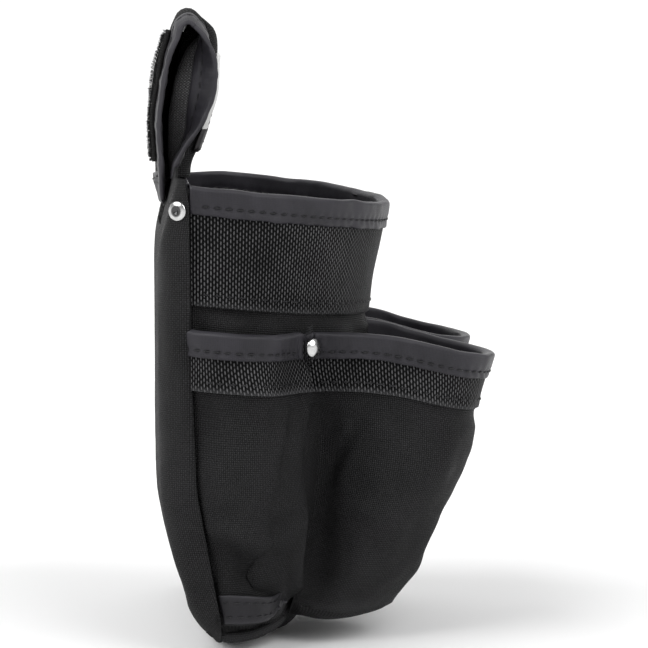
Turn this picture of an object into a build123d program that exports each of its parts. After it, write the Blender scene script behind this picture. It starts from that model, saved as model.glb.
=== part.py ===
"""Electrician's belt tool pouch, sewn from heavy black woven fabric.

Millimetres. The origin is the middle of the belt tunnel. The pouch's front faces -Y,
Z is up, and left and right are as seen from the front, so left is -X.
Layers that are sewn together lie a small gap apart.
"""

import os
from math import cos, radians, sin, sqrt

from build123d import *

os.makedirs("parts", exist_ok=True)

# ---------------------------------------------------------------- driving sizes
GAP = 0.25  # between layers that are sewn together
FABRIC = 1.2  # woven pack cloth
WEBBING = 1.4
TAPE = 0.9  # binding tape
HOOK = 1.0  # hook or loop tape

WIDE_WEBBING = 50.8  # 2 inch band round the main pocket
NARROW_WEBBING = 25.4  # 1 inch band round the lower pockets
RIM_BINDING = 14.0  # visible height of the main rim's binding
LOWER_BINDING = 12.5

SEAM_Y = -5.3  # where the pocket walls meet the back panel
RIM_Z = -38.0
RIM_SLOPE = 0.1126  # the main rim falls this much per mm towards the front
BODY_TOP = -28.0
BODY_FLOOR = -229.0
BASE_Z = -243.4

BACK_HALF_WIDTH = 97.0
BACK_TOP = -37.0
BACK_REAR_Y = 7.0
SIDE_ROLL = 11.0  # radius of the padded side roll
FLAT_TOP = -62.0  # the rear face is flat between these two heights
FLAT_FOOT = -178.0
SHOULDER = 16.0

FLAP_HALF_WIDTH = 50.0
FLAP_BINDING = 12.5
PATCH_HALF_WIDTH = 30.0

RIVET_CAP_R = 4.25
RIVET_CAP_HEIGHT = 2.3
RIVET_POST_R = 1.6
CORNER_RIVET_Z = -48.2
CORNER_RIVET_ANGLE = 33.0  # how far its axis turns from sideways to the rear
POCKET_RIVET_Z = -109.3

# The main pocket's plan is half an ellipse: seam position, half width and depth
BODY_STATIONS = {
    BODY_TOP: (SEAM_Y, 93.5, 92.0),
    -100.0: (SEAM_Y, 93.5, 84.0),
    -170.0: (-8.0, 92.0, 70.0),
    BODY_FLOOR: (-18.5, 88.0, 41.5),
}


def between(stations, z):
    """The stations' values at a height, in proportion."""
    heights = sorted(stations)
    z = min(max(z, heights[0]), heights[-1])
    for low, high in zip(heights, heights[1:]):
        if z <= high:
            t = (z - low) / (high - low)
            return tuple(a + t * (b - a) for a, b in zip(stations[low], stations[high]))


def body_at(z):
    """Seam position, half width and depth of the main pocket's plan at a height."""
    return between(BODY_STATIONS, z)


def on_body(y, z):
    """The left wall's X where it passes a given Y at a height."""
    seam, half_width, depth = body_at(z)
    return -half_width * sqrt(1 - ((y - seam) / depth) ** 2)


# ---------------------------------------------------------------- shared shapes
def body_layer(inner, outer):
    """The main pocket's wall between two offsets from its outer face, full height."""
    with BuildPart() as layer:
        for z, (seam, half_width, depth) in BODY_STATIONS.items():
            with BuildSketch(Plane.XY.offset(z)):
                with BuildLine():
                    far = EllipticalCenterArc(
                        (0, seam), half_width + outer, depth + outer, 180, arc_size=180
                    )
                    near = EllipticalCenterArc(
                        (0, seam), half_width + inner, depth + inner, 180, arc_size=180
                    )
                    Line(far @ 0, near @ 0)
                    Line(far @ 1, near @ 1)
                make_face()
        loft(ruled=True)
    return layer.part


def body_core(outer):
    """Everything inside an offset from the main pocket's outer face, full height."""
    with BuildPart() as core:
        for z, (seam, half_width, depth) in BODY_STATIONS.items():
            with BuildSketch(Plane.XY.offset(z)):
                with BuildLine():
                    far = EllipticalCenterArc(
                        (0, seam), half_width + outer, depth + outer, 180, arc_size=180
                    )
                    Polyline(far @ 0, (-half_width - outer, 12), (half_width + outer, 12), far @ 1)
                make_face()
        loft(ruled=True)
    return core.part


def under_main_rim(drop):
    """Everything lower than the main rim, less a drop measured square to it."""
    rim = Plane(origin=(0, SEAM_Y, RIM_Z), x_dir=(1, 0, 0), z_dir=(0, -RIM_SLOPE, 1))
    with BuildPart() as below:
        with BuildSketch(rim.offset(-drop)):
            Rectangle(400, 500)
        extrude(amount=-300)
    return below.part


LOWER_RIM = [(20, -98.0), (-5, -99.8), (-30, -101.6), (-59, -104.0), (-82, -103.4)]
LOWER_RIM += [(-100, -106.0), (-118, -111.0), (-134, -114.8), (-150, -117.4), (-170, -120.0)]


def under_lower_rim(drop):
    """Everything lower than the lower pockets' curved rim, less a drop."""
    with BuildPart() as below:
        with BuildSketch(Plane.YZ):
            with BuildLine():
                edge = Spline([(y, z - drop) for y, z in LOWER_RIM])
                Polyline(edge @ 1, (-170, -290), (20, -290), edge @ 0)
            make_face()
        extrude(amount=150, both=True)
    return below.part


def beside(points, offset):
    """Points of a spline through the given ones, moved square to it."""
    with BuildLine() as guide:
        path = Spline(points)
    count = 5 * len(points)
    moved = []
    for i in range(count + 1):
        at = path @ (i / count)
        along = path % (i / count)
        moved.append((at.X + along.Y * offset, at.Y - along.X * offset))
    return moved


# Plan of the left lower strip at four heights: it leaves the back seam, bulges round the
# side pocket, is pinched to the wall at the rivet and goes round the front pocket's mouth.
def strip_plan(z, bulge, pinch_y, side_x, tip_y, inner_x, flat=1.5, clear=0.0):
    """Thirteen points of the strip's inner face at a height.

    Around the pinch the strip lies against the wall for a flat half length either way.
    """
    seam, _, depth = body_at(z)
    pinch_x = on_body(pinch_y, z) - clear
    reach = pinch_y - seam
    slope = on_body(pinch_y - 0.5, z) - on_body(pinch_y + 0.5, z)
    slope *= min(1.0, flat / 4)
    run = sqrt(1 + slope**2)
    along_x, along_y = slope / run, -1 / run
    side = [
        (on_body(seam - 1, z) + 0.2, seam - 0.5),
        (on_body(seam + 0.27 * reach, z) - 0.75 * bulge, seam + 0.27 * reach),
        (on_body(seam + 0.55 * reach, z) - bulge, seam + 0.55 * reach),
        (pinch_x - (flat + 6.5) * along_x - 0.16 * bulge, pinch_y - (flat + 6.5) * along_y),
        (pinch_x - flat * along_x, pinch_y - flat * along_y),
        (pinch_x + flat * along_x, pinch_y + flat * along_y),
    ]
    centre_x = (side_x + inner_x) / 2
    leave_x, leave_y = side[-1]
    front = [
        (leave_x + 0.3 * (side_x - leave_x), leave_y - 11),
        (side_x, 0.5 * pinch_y + 0.5 * tip_y),
        (side_x + 11, tip_y + 9),
        (centre_x, tip_y),
        (inner_x - 9, tip_y + 9),
        (inner_x, 0.45 * pinch_y + 0.55 * tip_y),
        (inner_x, seam - depth + 8),
    ]
    return side + front


STRIP_PLANS = {
    -94.0: strip_plan(-94.0, 14.0, -55.2, -80.0, -144.0, -7.5, flat=4.5),
    -116.0: strip_plan(-116.0, 15.0, -55.2, -79.5, -139.8, -7.5, flat=4.5),
    -132.0: strip_plan(-132.0, 15.5, -58.5, -79.0, -135.0, -7.5, flat=2.5, clear=1.5),
    -150.0: strip_plan(-150.0, 15.5, -61.0, -78.0, -131.8, -8.0, clear=3.0),
    -170.0: strip_plan(-170.0, 14.0, -60.5, -76.0, -127.5, -8.5, clear=4.0),
    -190.0: strip_plan(-190.0, 12.0, -58.0, -73.0, -119.5, -9.0, clear=4.0),
    -212.0: strip_plan(-212.0, 7.5, -52.5, -70.0, -108.0, -9.5, clear=3.0),
    -232.0: strip_plan(-229.0, 3.0, -47.0, -67.0, -98.0, -10.0, clear=1.0),
}


def strip_layer(inner, outer, foot=-240.0):
    """The left lower strip between two offsets from its inner face, down to a height."""
    with BuildPart() as layer:
        for z, plan in STRIP_PLANS.items():
            if z >= foot:
                with BuildSketch(Plane.XY.offset(z)):
                    with BuildLine():
                        near = Spline(beside(plan, inner))
                        far = Spline(beside(plan, outer))
                        Line(near @ 0, far @ 0)
                        Line(near @ 1, far @ 1)
                    make_face()
        loft(ruled=True)
    return layer.part


def mirrored(part):
    return mirror(part, about=Plane.YZ)


# The belt flap's inner face in the YZ plane, from its sewn foot over the fold to the tail
FLAP_FRONT = [(-4.6, -35.6), (-6.6, -20), (-10.8, 0), (-14.6, 17), (-15.4, 27), (-12.2, 35.4)]
FLAP_FRONT += [(-6.6, 38.8)]
FLAP_TAIL = [(-5.5, 38.7), (-2.0, 36.0), (0.4, 29), (3.5, 17), (5.7, 2), (6.6, -12)]
FLAP_TAIL += [(6.2, -28), (5.7, -38), (5.5, -45)]


def flap_layer(path, inner, outer, half_width):
    """A strap that follows the flap's path, between two offsets from its inner face."""
    with BuildPart() as strap:
        with BuildSketch(Plane.YZ):
            with BuildLine():
                near = Spline(beside(path, -inner))
                far = Spline(beside(path, -outer))
                Line(near @ 0, far @ 0)
                Line(near @ 1, far @ 1)
            make_face()
        extrude(amount=half_width, both=True)
    return strap.part


def edge_binding(path):
    """Tape folded over both side edges of the strap."""
    outside = flap_layer(path, -GAP - TAPE, 2 * FABRIC + 2 * GAP + TAPE, FLAP_HALF_WIDTH + GAP + TAPE)
    filled = flap_layer(path, -GAP, 2 * FABRIC + 2 * GAP, FLAP_HALF_WIDTH + GAP)
    with BuildPart() as middle:
        Box(2 * (FLAP_HALF_WIDTH - FLAP_BINDING), 200, 300)
    return outside - filled - middle.part


def rivet_cap(place):
    """A low dome with a thin straight edge; the place's Z axis points out of the fabric."""
    rise = RIVET_CAP_HEIGHT - 0.5
    ball = (RIVET_CAP_R**2 + rise**2) / (2 * rise)
    with BuildPart() as cap:
        Cylinder(RIVET_CAP_R, RIVET_CAP_HEIGHT, align=(Align.CENTER, Align.CENTER, Align.MIN))
        with Locations((0, 0, RIVET_CAP_HEIGHT - ball)):
            Sphere(ball, mode=Mode.INTERSECT)
    return place.location * cap.part


def rivet_post(place, length, burr_radius=None):
    """The shank below the cap, and the flat burr it is set over at its far end."""
    with BuildPart() as post:
        with Locations((0, 0, -length / 2 - 0.1)):
            Cylinder(RIVET_POST_R, length - 0.2)
        if burr_radius:
            with Locations((0, 0, -length)):
                Cylinder(burr_radius, 0.8)
    return place.location * post.part


def drill(place, length):
    with BuildPart() as bore:
        with Locations((0, 0, 4 - length / 2)):
            Cylinder(RIVET_POST_R + 0.25, length + 8)
    return place.location * bore.part


# ---------------------------------------------------------------- rivet places
STACK = 3 * GAP + TAPE + FABRIC + WEBBING  # from the strip's inner face to its tape
pinch = (on_body(-55.2, POCKET_RIVET_Z), -55.2)
lean = radians(39.0)
pocket_out = (-cos(lean), -sin(lean), 0)
cap_reach = STACK + GAP + TAPE + 1.4
pocket_rivet = Plane(
    origin=(pinch[0] + cap_reach * pocket_out[0], pinch[1] + cap_reach * pocket_out[1], POCKET_RIVET_Z),
    x_dir=(0, 0, 1),
    z_dir=pocket_out,
)
POCKET_GRIP = cap_reach + FABRIC + GAP + 0.7
pocket_bore = drill(pocket_rivet, POCKET_GRIP + 2)


# ---------------------------------------------------------------- the back panel
# Height: how far back the rear face stands, the radius of its side roll, its half width
FLAT_Y = BACK_REAR_Y + 0.4
PAD_STATIONS = {
    BACK_TOP: (0.5, 5.0, BACK_HALF_WIDTH),
    FLAT_TOP: (FLAT_Y, SIDE_ROLL, BACK_HALF_WIDTH),
    -100.0: (FLAT_Y, SIDE_ROLL, BACK_HALF_WIDTH),
    -170.0: (FLAT_Y, SIDE_ROLL, BACK_HALF_WIDTH),
    FLAT_FOOT: (FLAT_Y - 0.1, SIDE_ROLL, BACK_HALF_WIDTH),
    -203.0: (1.6, SIDE_ROLL, 96.0),
    -222.0: (-3.8, 10.0, 94.5),
    -236.0: (-9.5, 7.0, 92.0),
    BASE_Z: (-15.5, 3.0, 88.0),
}


# ---------------------------------------------------------------- corner rivet places
turn = radians(CORNER_RIVET_ANGLE)
corner_out = (-cos(turn), sin(turn), 0)
rear_there, roll_there, _ = between(PAD_STATIONS, CORNER_RIVET_Z)
corner_rivet = Plane(
    origin=(
        roll_there - BACK_HALF_WIDTH + (roll_there + 0.25) * corner_out[0],
        rear_there - roll_there + (roll_there + 0.25) * corner_out[1],
        CORNER_RIVET_Z,
    ),
    x_dir=(0, 0, 1),
    z_dir=corner_out,
)
CORNER_GRIP = 3.6
corner_bore = drill(corner_rivet, CORNER_GRIP + 0.5)


def levels(stations, top, foot):
    """The stations' heights between two heights, with those two at the ends."""
    return [top] + [z for z in stations if foot < z < top] + [foot]


def pad_block(inset, top=BACK_TOP, foot=BASE_Z):
    """Everything in front of the padded back's rear face, between its sides, less an inset."""
    with BuildPart() as block:
        for z in levels(PAD_STATIONS, top, foot):
            rear, roll, half_width = between(PAD_STATIONS, z)
            side = half_width - inset
            back = rear - inset
            radius = roll - inset
            bend = radius * (1 - sqrt(0.5))
            front = body_at(z)[0] - 25
            with BuildSketch(Plane.XY.offset(z)):
                with BuildLine():
                    Polyline((-side, back - radius), (-side, front), (side, front), (side, back - radius))
                    ThreePointArc((side, back - radius), (side - bend, back - bend), (side - radius, back))
                    Line((side - radius, back), (radius - side, back))
                    ThreePointArc((radius - side, back), (bend - side, back - bend), (-side, back - radius))
                make_face()
        loft(ruled=True)
        split(bisect_by=Plane.XZ.offset(inset - BACK_REAR_Y), keep=Keep.TOP)
    return block.part


def pad_sheet(front, thick, half_width, top, foot):
    """A flat layer that follows the seam down, from a distance behind it."""
    with BuildPart() as sheet:
        for z in levels(BODY_STATIONS, top, foot):
            seam = body_at(z)[0]
            with BuildSketch(Plane.XY.offset(z)):
                with Locations((0, seam + front + thick / 2)):
                    Rectangle(2 * half_width, thick)
        loft(ruled=True)
    return sheet.part


def shoulders(radius, half_width, top):
    """What is cut away to round the back panel's two top corners."""
    with BuildPart() as corners:
        with BuildSketch(Plane.XZ):
            with Locations((half_width, top)):
                Rectangle(2 * radius, 2 * radius)
            with Locations((half_width - radius, top - radius)):
                Circle(radius, mode=Mode.SUBTRACT)
            mirror(about=Plane.YZ)
        extrude(amount=60, both=True)
    return corners.part


def save(part, name):
    """Label a piece and write its own STEP file."""
    part.label = name
    export_step(part, f"parts/{name}.step")
    print(f"{name}: {len(part.solids())} solid, {part.volume:.0f} mm3")


def save_pair(part, name):
    """Write the left piece and its mirror image, each as its own file."""
    save(part, f"{name}_left")
    save(mirrored(part), f"{name}_right")


with BuildPart() as back_cover:
    add(pad_block(0))
    add(pad_block(FABRIC, top=BACK_TOP + 4, foot=BASE_Z + FABRIC), mode=Mode.SUBTRACT)
    add(pad_sheet(-60, 60.4, 150, BACK_TOP + 4, BASE_Z - 4), mode=Mode.SUBTRACT)
    add(shoulders(SHOULDER, BACK_HALF_WIDTH, BACK_TOP), mode=Mode.SUBTRACT)
    add(corner_bore, mode=Mode.SUBTRACT)
    add(mirrored(corner_bore), mode=Mode.SUBTRACT)
save(back_cover.part, "back_cover")

# Two flat layers lie at the front of the pad: the pocket's rear wall and a stiff board
LINING_FRONT = 0.4
BOARD_FRONT = LINING_FRONT + FABRIC + GAP
BOARD = 1.2
FOAM_FRONT = BOARD_FRONT + BOARD + GAP
INSIDE = FABRIC + GAP

with BuildPart() as back_lining:
    add(pad_sheet(LINING_FRONT, FABRIC, BACK_HALF_WIDTH - INSIDE - 0.1, BACK_TOP - 0.4, -228.0))
    add(pad_block(INSIDE, foot=-228.0), mode=Mode.INTERSECT)
    add(shoulders(SHOULDER, BACK_HALF_WIDTH - INSIDE, BACK_TOP - 0.4), mode=Mode.SUBTRACT)
save(back_lining.part, "back_lining")

with BuildPart() as stiffener_board:
    add(pad_sheet(BOARD_FRONT, BOARD, BACK_HALF_WIDTH - 14, -52.0, -222.0))
save(stiffener_board.part, "stiffener_board")

with BuildPart() as back_foam:
    add(pad_block(INSIDE, top=-40.0, foot=-238.0))
    add(pad_sheet(-60, 60 + FOAM_FRONT, 150, BACK_TOP, BASE_Z - 4), mode=Mode.SUBTRACT)
    add(shoulders(SHOULDER, BACK_HALF_WIDTH - INSIDE, BACK_TOP - 1.5), mode=Mode.SUBTRACT)
    add(corner_bore, mode=Mode.SUBTRACT)
    add(mirrored(corner_bore), mode=Mode.SUBTRACT)
save(back_foam.part, "back_foam")

# ---------------------------------------------------------------- the main pocket
main_pocket_wall = (body_layer(-FABRIC, 0) & under_main_rim(0)) - pocket_bore - mirrored(pocket_bore)
save(main_pocket_wall, "main_pocket_wall")

main_webbing = (body_layer(GAP, GAP + WEBBING) & under_main_rim(0)) - under_main_rim(WIDE_WEBBING)
save(main_webbing, "main_webbing")

rim_outside = GAP + WEBBING + GAP
main_rim_binding = body_layer(-FABRIC - GAP - TAPE, rim_outside + TAPE) & under_main_rim(-GAP - TAPE)
main_rim_binding -= under_main_rim(RIM_BINDING)
main_rim_binding -= body_layer(-FABRIC - GAP, rim_outside) & under_main_rim(-GAP)
save(main_rim_binding, "main_rim_binding")

# The base is a shallow cup sewn to the foot of the wall and of the back panel
BASE_STATIONS = {
    BODY_FLOOR - GAP: (-18.5, 88.0, 41.5),
    -236.0: (-20.0, 84.5, 38.0),
    -241.5: (-21.6, 78.0, 31.0),
    BASE_Z: (-22.0, 71.0, 24.0),
}


def base_cup(inset, lift):
    with BuildPart() as cup:
        for z, (seam, half_width, depth) in BASE_STATIONS.items():
            with BuildSketch(Plane.XY.offset(z + lift * (z < -230))):
                with BuildLine():
                    rim = EllipticalCenterArc(
                        (0, seam + (inset > 0)), half_width - inset, depth - inset, 180, arc_size=180
                    )
                    Line(rim @ 1, rim @ 0)
                make_face()
        loft(ruled=True)
    return cup.part


base_panel = base_cup(0, 0) - base_cup(1.8, 1.8)
save(base_panel, "base_panel")

# ---------------------------------------------------------------- the lower pockets
core = body_core(GAP) + pad_sheet(0.1, 60, 150, -80, -242)
FLOOR_Z = -230.5

panel_in = GAP + TAPE + GAP
webbing_in = panel_in + FABRIC + GAP
tape_in = webbing_in + WEBBING + GAP


def above(z):
    with BuildPart() as upper:
        with BuildSketch(Plane.XY.offset(z)):
            Rectangle(400, 500)
        extrude(amount=300)
    return upper.part


lower_panel = strip_layer(panel_in, panel_in + FABRIC) & under_lower_rim(0) & above(FLOOR_Z)
lower_panel = lower_panel - core - pocket_bore - base_cup(-0.4, 0)
save_pair(lower_panel, "lower_panel")

lower_webbing = strip_layer(webbing_in, webbing_in + WEBBING, -150) & under_lower_rim(0)
lower_webbing = lower_webbing - under_lower_rim(NARROW_WEBBING) - core - pocket_bore
save_pair(lower_webbing, "lower_webbing")

lower_binding = strip_layer(GAP, tape_in + TAPE, -150) & under_lower_rim(-GAP - TAPE)
lower_binding = lower_binding - under_lower_rim(LOWER_BINDING) - core - pocket_bore
lower_binding -= strip_layer(panel_in - GAP, tape_in, -150) & under_lower_rim(-GAP)
save_pair(lower_binding, "lower_binding")

# The front pockets' floors, sewn under the lower edge of each strip
floor_plan = STRIP_PLANS[-232.0][5:]
with BuildPart() as pocket_floor:
    with BuildSketch(Plane.XY.offset(FLOOR_Z - GAP)):
        with BuildLine():
            rim = Spline(beside(floor_plan, panel_in + FABRIC))
            Line(rim @ 1, rim @ 0)
        make_face()
        with BuildLine():
            around = EllipticalCenterArc((0, -18.5), 88.0 + 0.4, 41.5 + 0.4, 180, arc_size=180)
            Polyline(around @ 1, (90, 20), (-90, 20), around @ 0)
        make_face(mode=Mode.SUBTRACT)
    extrude(amount=-1.6)
save_pair(pocket_floor.part, "pocket_floor")

# Tape over the side pockets' lower edge
side_only = Pos(-75, -20, -223) * Box(60, 46, 12)
side_tape = (strip_layer(webbing_in, webbing_in + TAPE) & side_only) - core
save_pair(side_tape, "side_pocket_tape")

# ---------------------------------------------------------------- rivets
pocket_cap = rivet_cap(pocket_rivet)
save(pocket_cap + mirrored(pocket_cap), "pocket_rivet_caps")
pocket_post = rivet_post(pocket_rivet, POCKET_GRIP, burr_radius=3.6)
save(pocket_post + mirrored(pocket_post), "pocket_rivet_posts")
corner_cap = rivet_cap(corner_rivet)
save(corner_cap + mirrored(corner_cap), "corner_rivet_caps")
corner_post = rivet_post(corner_rivet, CORNER_GRIP)
save(corner_post + mirrored(corner_post), "corner_rivet_posts")

# ---------------------------------------------------------------- the belt flap
OUTER_IN = FABRIC + GAP
OUTER_OUT = OUTER_IN + FABRIC


def slab(low, high):
    return Pos(0, 0, (low + high) / 2) * Box(300, 300, high - low)


save(flap_layer(FLAP_FRONT, 0, FABRIC, FLAP_HALF_WIDTH), "flap_front_lining")
save(flap_layer(FLAP_FRONT, OUTER_IN, OUTER_OUT, FLAP_HALF_WIDTH), "flap_front_cover")
save(edge_binding(FLAP_FRONT), "flap_front_binding")
patch = flap_layer(FLAP_FRONT, OUTER_OUT + GAP, OUTER_OUT + GAP + 0.9, PATCH_HALF_WIDTH) & slab(-24, 22)
save(patch, "flap_patch")

save(flap_layer(FLAP_TAIL, 0, FABRIC, FLAP_HALF_WIDTH), "flap_tail_lining")
save(flap_layer(FLAP_TAIL, OUTER_IN, OUTER_OUT, FLAP_HALF_WIDTH), "flap_tail_cover")
save(edge_binding(FLAP_TAIL), "flap_tail_binding")
strip = flap_layer(FLAP_TAIL, OUTER_OUT + GAP, OUTER_OUT + GAP + 1.6, 36) & slab(-29, 31)
save(strip, "flap_tail_strip")
hook = flap_layer(FLAP_TAIL, -GAP - HOOK, -GAP, 32) & slab(-44.5, -28)
save(hook, "flap_hook_tape")

with BuildPart() as loop_tape:
    with BuildSketch(Plane.YZ):
        lean_at = [(between(PAD_STATIONS, z)[0] + GAP, z) for z in (-38.5, -57.5)]
        with BuildLine():
            (top_y, top_z), (foot_y, foot_z) = lean_at
            Polyline(
                (top_y, top_z), (foot_y, foot_z), (foot_y + HOOK, foot_z), (top_y + HOOK, top_z), close=True
            )
        make_face()
    extrude(amount=32, both=True)
save(loop_tape.part, "back_loop_tape")

with BuildPart() as back_rim_binding:
    with Locations((0, SEAM_Y - 0.3, -44.0)):
        Box(181, TAPE, 12.5)
save(back_rim_binding.part, "back_rim_binding")
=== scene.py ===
"""Electrician's belt tool pouch: sewn cloth, webbing, binding tape, rivets and hook-and-loop.

Sizes below are in millimetres and repeat the CAD model's; meshes are made in metres.
Left and right are as seen from the pouch's front (-Y), so left is -X.
"""
import math
import random

import bmesh
import bpy
import numpy as np
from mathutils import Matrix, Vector, noise


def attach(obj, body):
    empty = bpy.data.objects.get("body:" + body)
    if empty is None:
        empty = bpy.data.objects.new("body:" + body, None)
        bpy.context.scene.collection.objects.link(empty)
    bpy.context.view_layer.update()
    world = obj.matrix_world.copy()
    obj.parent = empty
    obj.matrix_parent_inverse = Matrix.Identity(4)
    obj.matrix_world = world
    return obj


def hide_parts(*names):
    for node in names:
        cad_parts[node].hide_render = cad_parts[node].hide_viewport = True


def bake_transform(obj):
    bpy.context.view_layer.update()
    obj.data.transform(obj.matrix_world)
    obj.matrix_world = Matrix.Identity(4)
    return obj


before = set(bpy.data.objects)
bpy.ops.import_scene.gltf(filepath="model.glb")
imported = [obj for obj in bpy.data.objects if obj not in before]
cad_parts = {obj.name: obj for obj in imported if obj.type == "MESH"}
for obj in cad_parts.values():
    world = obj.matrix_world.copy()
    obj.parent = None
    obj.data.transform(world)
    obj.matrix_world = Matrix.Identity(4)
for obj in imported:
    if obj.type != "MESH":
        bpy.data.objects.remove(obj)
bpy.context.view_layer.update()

MM = 0.001
random.seed(7)

# ------------------------------------------------------------------ sizes shared with the CAD
GAP, FABRIC, WEBBING, TAPE = 0.25, 1.2, 1.4, 0.9
WIDE_WEBBING, NARROW_WEBBING = 50.8, 25.4
RIM_BINDING, LOWER_BINDING, FLAP_BINDING = 11.6, 10.6, 12.5
SEAM_Y, RIM_Z, RIM_SLOPE = -5.3, -38.0, 0.1126
BODY_FLOOR, BASE_Z = -229.0, -243.4
BACK_HALF_WIDTH, BACK_TOP, SHOULDER = 97.0, -37.0, 16.0
PATCH_HALF_WIDTH, PATCH_BAND_HEIGHT = 24.0, 9.0
CAP_RADIUS, CAP_HEIGHT = 4.25, 2.3
RIVET_Y, RIVET_Z, CORNER_RIVET_Z = -55.2, -109.3, -48.2
RIM_STITCH, LOWER_STITCH, BACK_STITCH = 7.7, 7.6, 8.5  # below the edge that the tape is folded over
STITCH_PITCH, STITCH_LENGTH, THREAD_RADIUS = 5.2, 3.7, 0.42

BODY_STATIONS = {-28.0: (-5.3, 93.5, 92.0), -100.0: (-5.3, 93.5, 84.0),
                 -170.0: (-8.0, 92.0, 70.0), BODY_FLOOR: (-18.5, 88.0, 41.5)}
PAD_SWELL, PAD_PRESSURE, FILLING_SCALE, SIM_FRAMES = 1.6, 3.0, 0.96, 20
PAD_STATIONS = {BACK_TOP: (0.5, 5.0, BACK_HALF_WIDTH), -62.0: (7.0, 11.0, BACK_HALF_WIDTH),
                -178.0: (7.0, 11.0, BACK_HALF_WIDTH),
                -203.0: (1.6, 11.0, 96.0), -222.0: (-3.8, 10.0, 94.5), -236.0: (-9.5, 7.0, 92.0),
                BASE_Z: (-15.5, 3.0, 88.0)}
BASE_STATIONS = {-229.25: (-18.5, 88.0, 41.5), -236.0: (-20.0, 84.5, 38.0),
                 -241.5: (-21.6, 78.0, 31.0), BASE_Z: (-22.0, 71.0, 24.0)}


def between(stations, z):
    """The stations' values at heights z, in proportion, as one row each."""
    heights = sorted(stations)
    return [np.interp(z, heights, [stations[h][k] for h in heights]) for k in range(len(stations[heights[0]]))]


def on_body(y, z):
    """The left wall's X where it passes a given Y at a height."""
    seam, half_width, depth = between(BODY_STATIONS, z)
    return -half_width * math.sqrt(1 - ((y - seam) / depth) ** 2)


def cubic(knots, values, at):
    """Natural cubic spline through values at knots, at the given places."""
    knots, values, at = (np.asarray(a, float) for a in (knots, values, at))
    n, h = len(knots), np.diff(knots)
    a, rhs = np.eye(n), np.zeros((n,) + values.shape[1:])
    step = np.diff(values, axis=0) / h.reshape((-1,) + (1,) * (values.ndim - 1))
    for i in range(1, n - 1):
        a[i, i - 1 : i + 2] = h[i - 1], 2 * (h[i - 1] + h[i]), h[i]
        rhs[i] = 6 * (step[i] - step[i - 1])
    m = np.linalg.solve(a, rhs.reshape(n, -1)).reshape(rhs.shape)
    k = np.clip(np.searchsorted(knots, at) - 1, 0, n - 2)
    shape = at.shape + (1,) * (values.ndim - 1)
    t, w = (at - knots[k]).reshape(shape), h[k].reshape(shape)
    return (values[k] + t * (step[k] - w * (2 * m[k] + m[k + 1]) / 6)
            + t**2 * m[k] / 2 + t**3 * (m[k + 1] - m[k]) / (6 * w))


def lengths(points):
    """Distance along a line of points, from 0 at the first."""
    return np.r_[0, np.cumsum(np.linalg.norm(np.diff(points, axis=0), axis=1))]


def smooth_line(points, count):
    """Points evenly spaced along the smooth curve through a few given ones."""
    points = np.asarray(points, float)
    knots = lengths(points)
    dense = cubic(knots, points, np.linspace(0, knots[-1], 40 * len(points)))
    return evenly(dense, count)


def evenly(line, count):
    run = lengths(line)
    at = np.linspace(0, run[-1], count)
    return np.stack([np.interp(at, run, line[:, k]) for k in range(line.shape[1])], 1)


def rise(x):
    """0 below 0, 1 above 1, smooth between."""
    x = np.clip(x, 0, 1)
    return x * x * (3 - 2 * x)


def bump(x, centre, width):
    """1 at the centre, falling smoothly to 0 over a width."""
    return np.exp(-(((x - centre) / width) ** 2))


def ripple(points, size, seed):
    """Smooth noise from about -1 to 1 at each of the points, with features of a size."""
    flat = points.reshape(-1, points.shape[-1]) / size
    out = np.zeros(len(flat))
    for i, p in enumerate(flat):
        v = Vector((p[0] + 31.7 * seed, p[1] - 17.3 * seed, p[2] if len(p) > 2 else 0.5 * seed))
        for k in range(2):
            out[i] += noise.noise(v * 2**k) / 2**k
    return out.reshape(points.shape[:-1]) * 1.6


# ------------------------------------------------------------------ meshes from grids
def piece(name, verts, faces, uvs, material, body="pouch", slot=None, nodes=(), wear_and_shade=None, smooth=True):
    """An object from millimetre points; it rides a body and stands for some CAD nodes."""
    mesh = bpy.data.meshes.new(name)
    mesh.from_pydata((np.asarray(verts, float) * MM).tolist(), [], faces)
    mesh.validate()
    layer = mesh.uv_layers.new(name="cloth")
    index = np.zeros(len(mesh.loops), int)
    mesh.loops.foreach_get("vertex_index", index)
    layer.data.foreach_set("uv", (np.asarray(uvs, float)[index] * MM).ravel())
    if wear_and_shade is not None:
        mesh.attributes.new("wear_and_shade", "FLOAT", "POINT").data.foreach_set("value", np.asarray(wear_and_shade, np.float32))
    if smooth:
        mesh.shade_smooth()
    else:
        mesh.shade_flat()
    mesh.materials.append(material)
    made = bpy.data.objects.new(name, mesh)
    bpy.context.scene.collection.objects.link(made)
    if body:
        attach(made, body)
    if nodes:
        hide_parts(*nodes)
    return made


def quads(nu, nv, start=0, flip=False, close_v=False):
    """Faces between the points of a grid, numbered from a start."""
    out = []
    for i in range(nu - 1):
        for j in range(nv if close_v else nv - 1):
            a, b = start + i * nv + j, start + (i + 1) * nv + j
            c, d = start + (i + 1) * nv + (j + 1) % nv, start + i * nv + (j + 1) % nv
            out.append((a, d, c, b) if flip else (a, b, c, d))
    return out


def tube(rings, start=0):
    """Faces of a closed strip whose rows are rings, each end filled between the ring's two halves."""
    nu, nv = rings.shape[:2]
    faces = quads(nu, nv, start, close_v=True)
    for first in (start, start + (nu - 1) * nv):
        faces += [[first + k for k in (j, j + 1, nv - 2 - j, nv - 1 - j)] for j in range(nv // 2 - 1)]
    return faces


def mirrored(verts, faces):
    """The same points and faces on the other side of X = 0."""
    return np.asarray(verts) * [-1, 1, 1], [f[::-1] for f in faces]


def fix_normals(made):
    """Turn every face outward."""
    bm = bmesh.new()
    bm.from_mesh(made.data)
    bmesh.ops.recalc_face_normals(bm, faces=bm.faces)
    bm.to_mesh(made.data)
    bm.free()
    made.data.shade_smooth()


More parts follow.
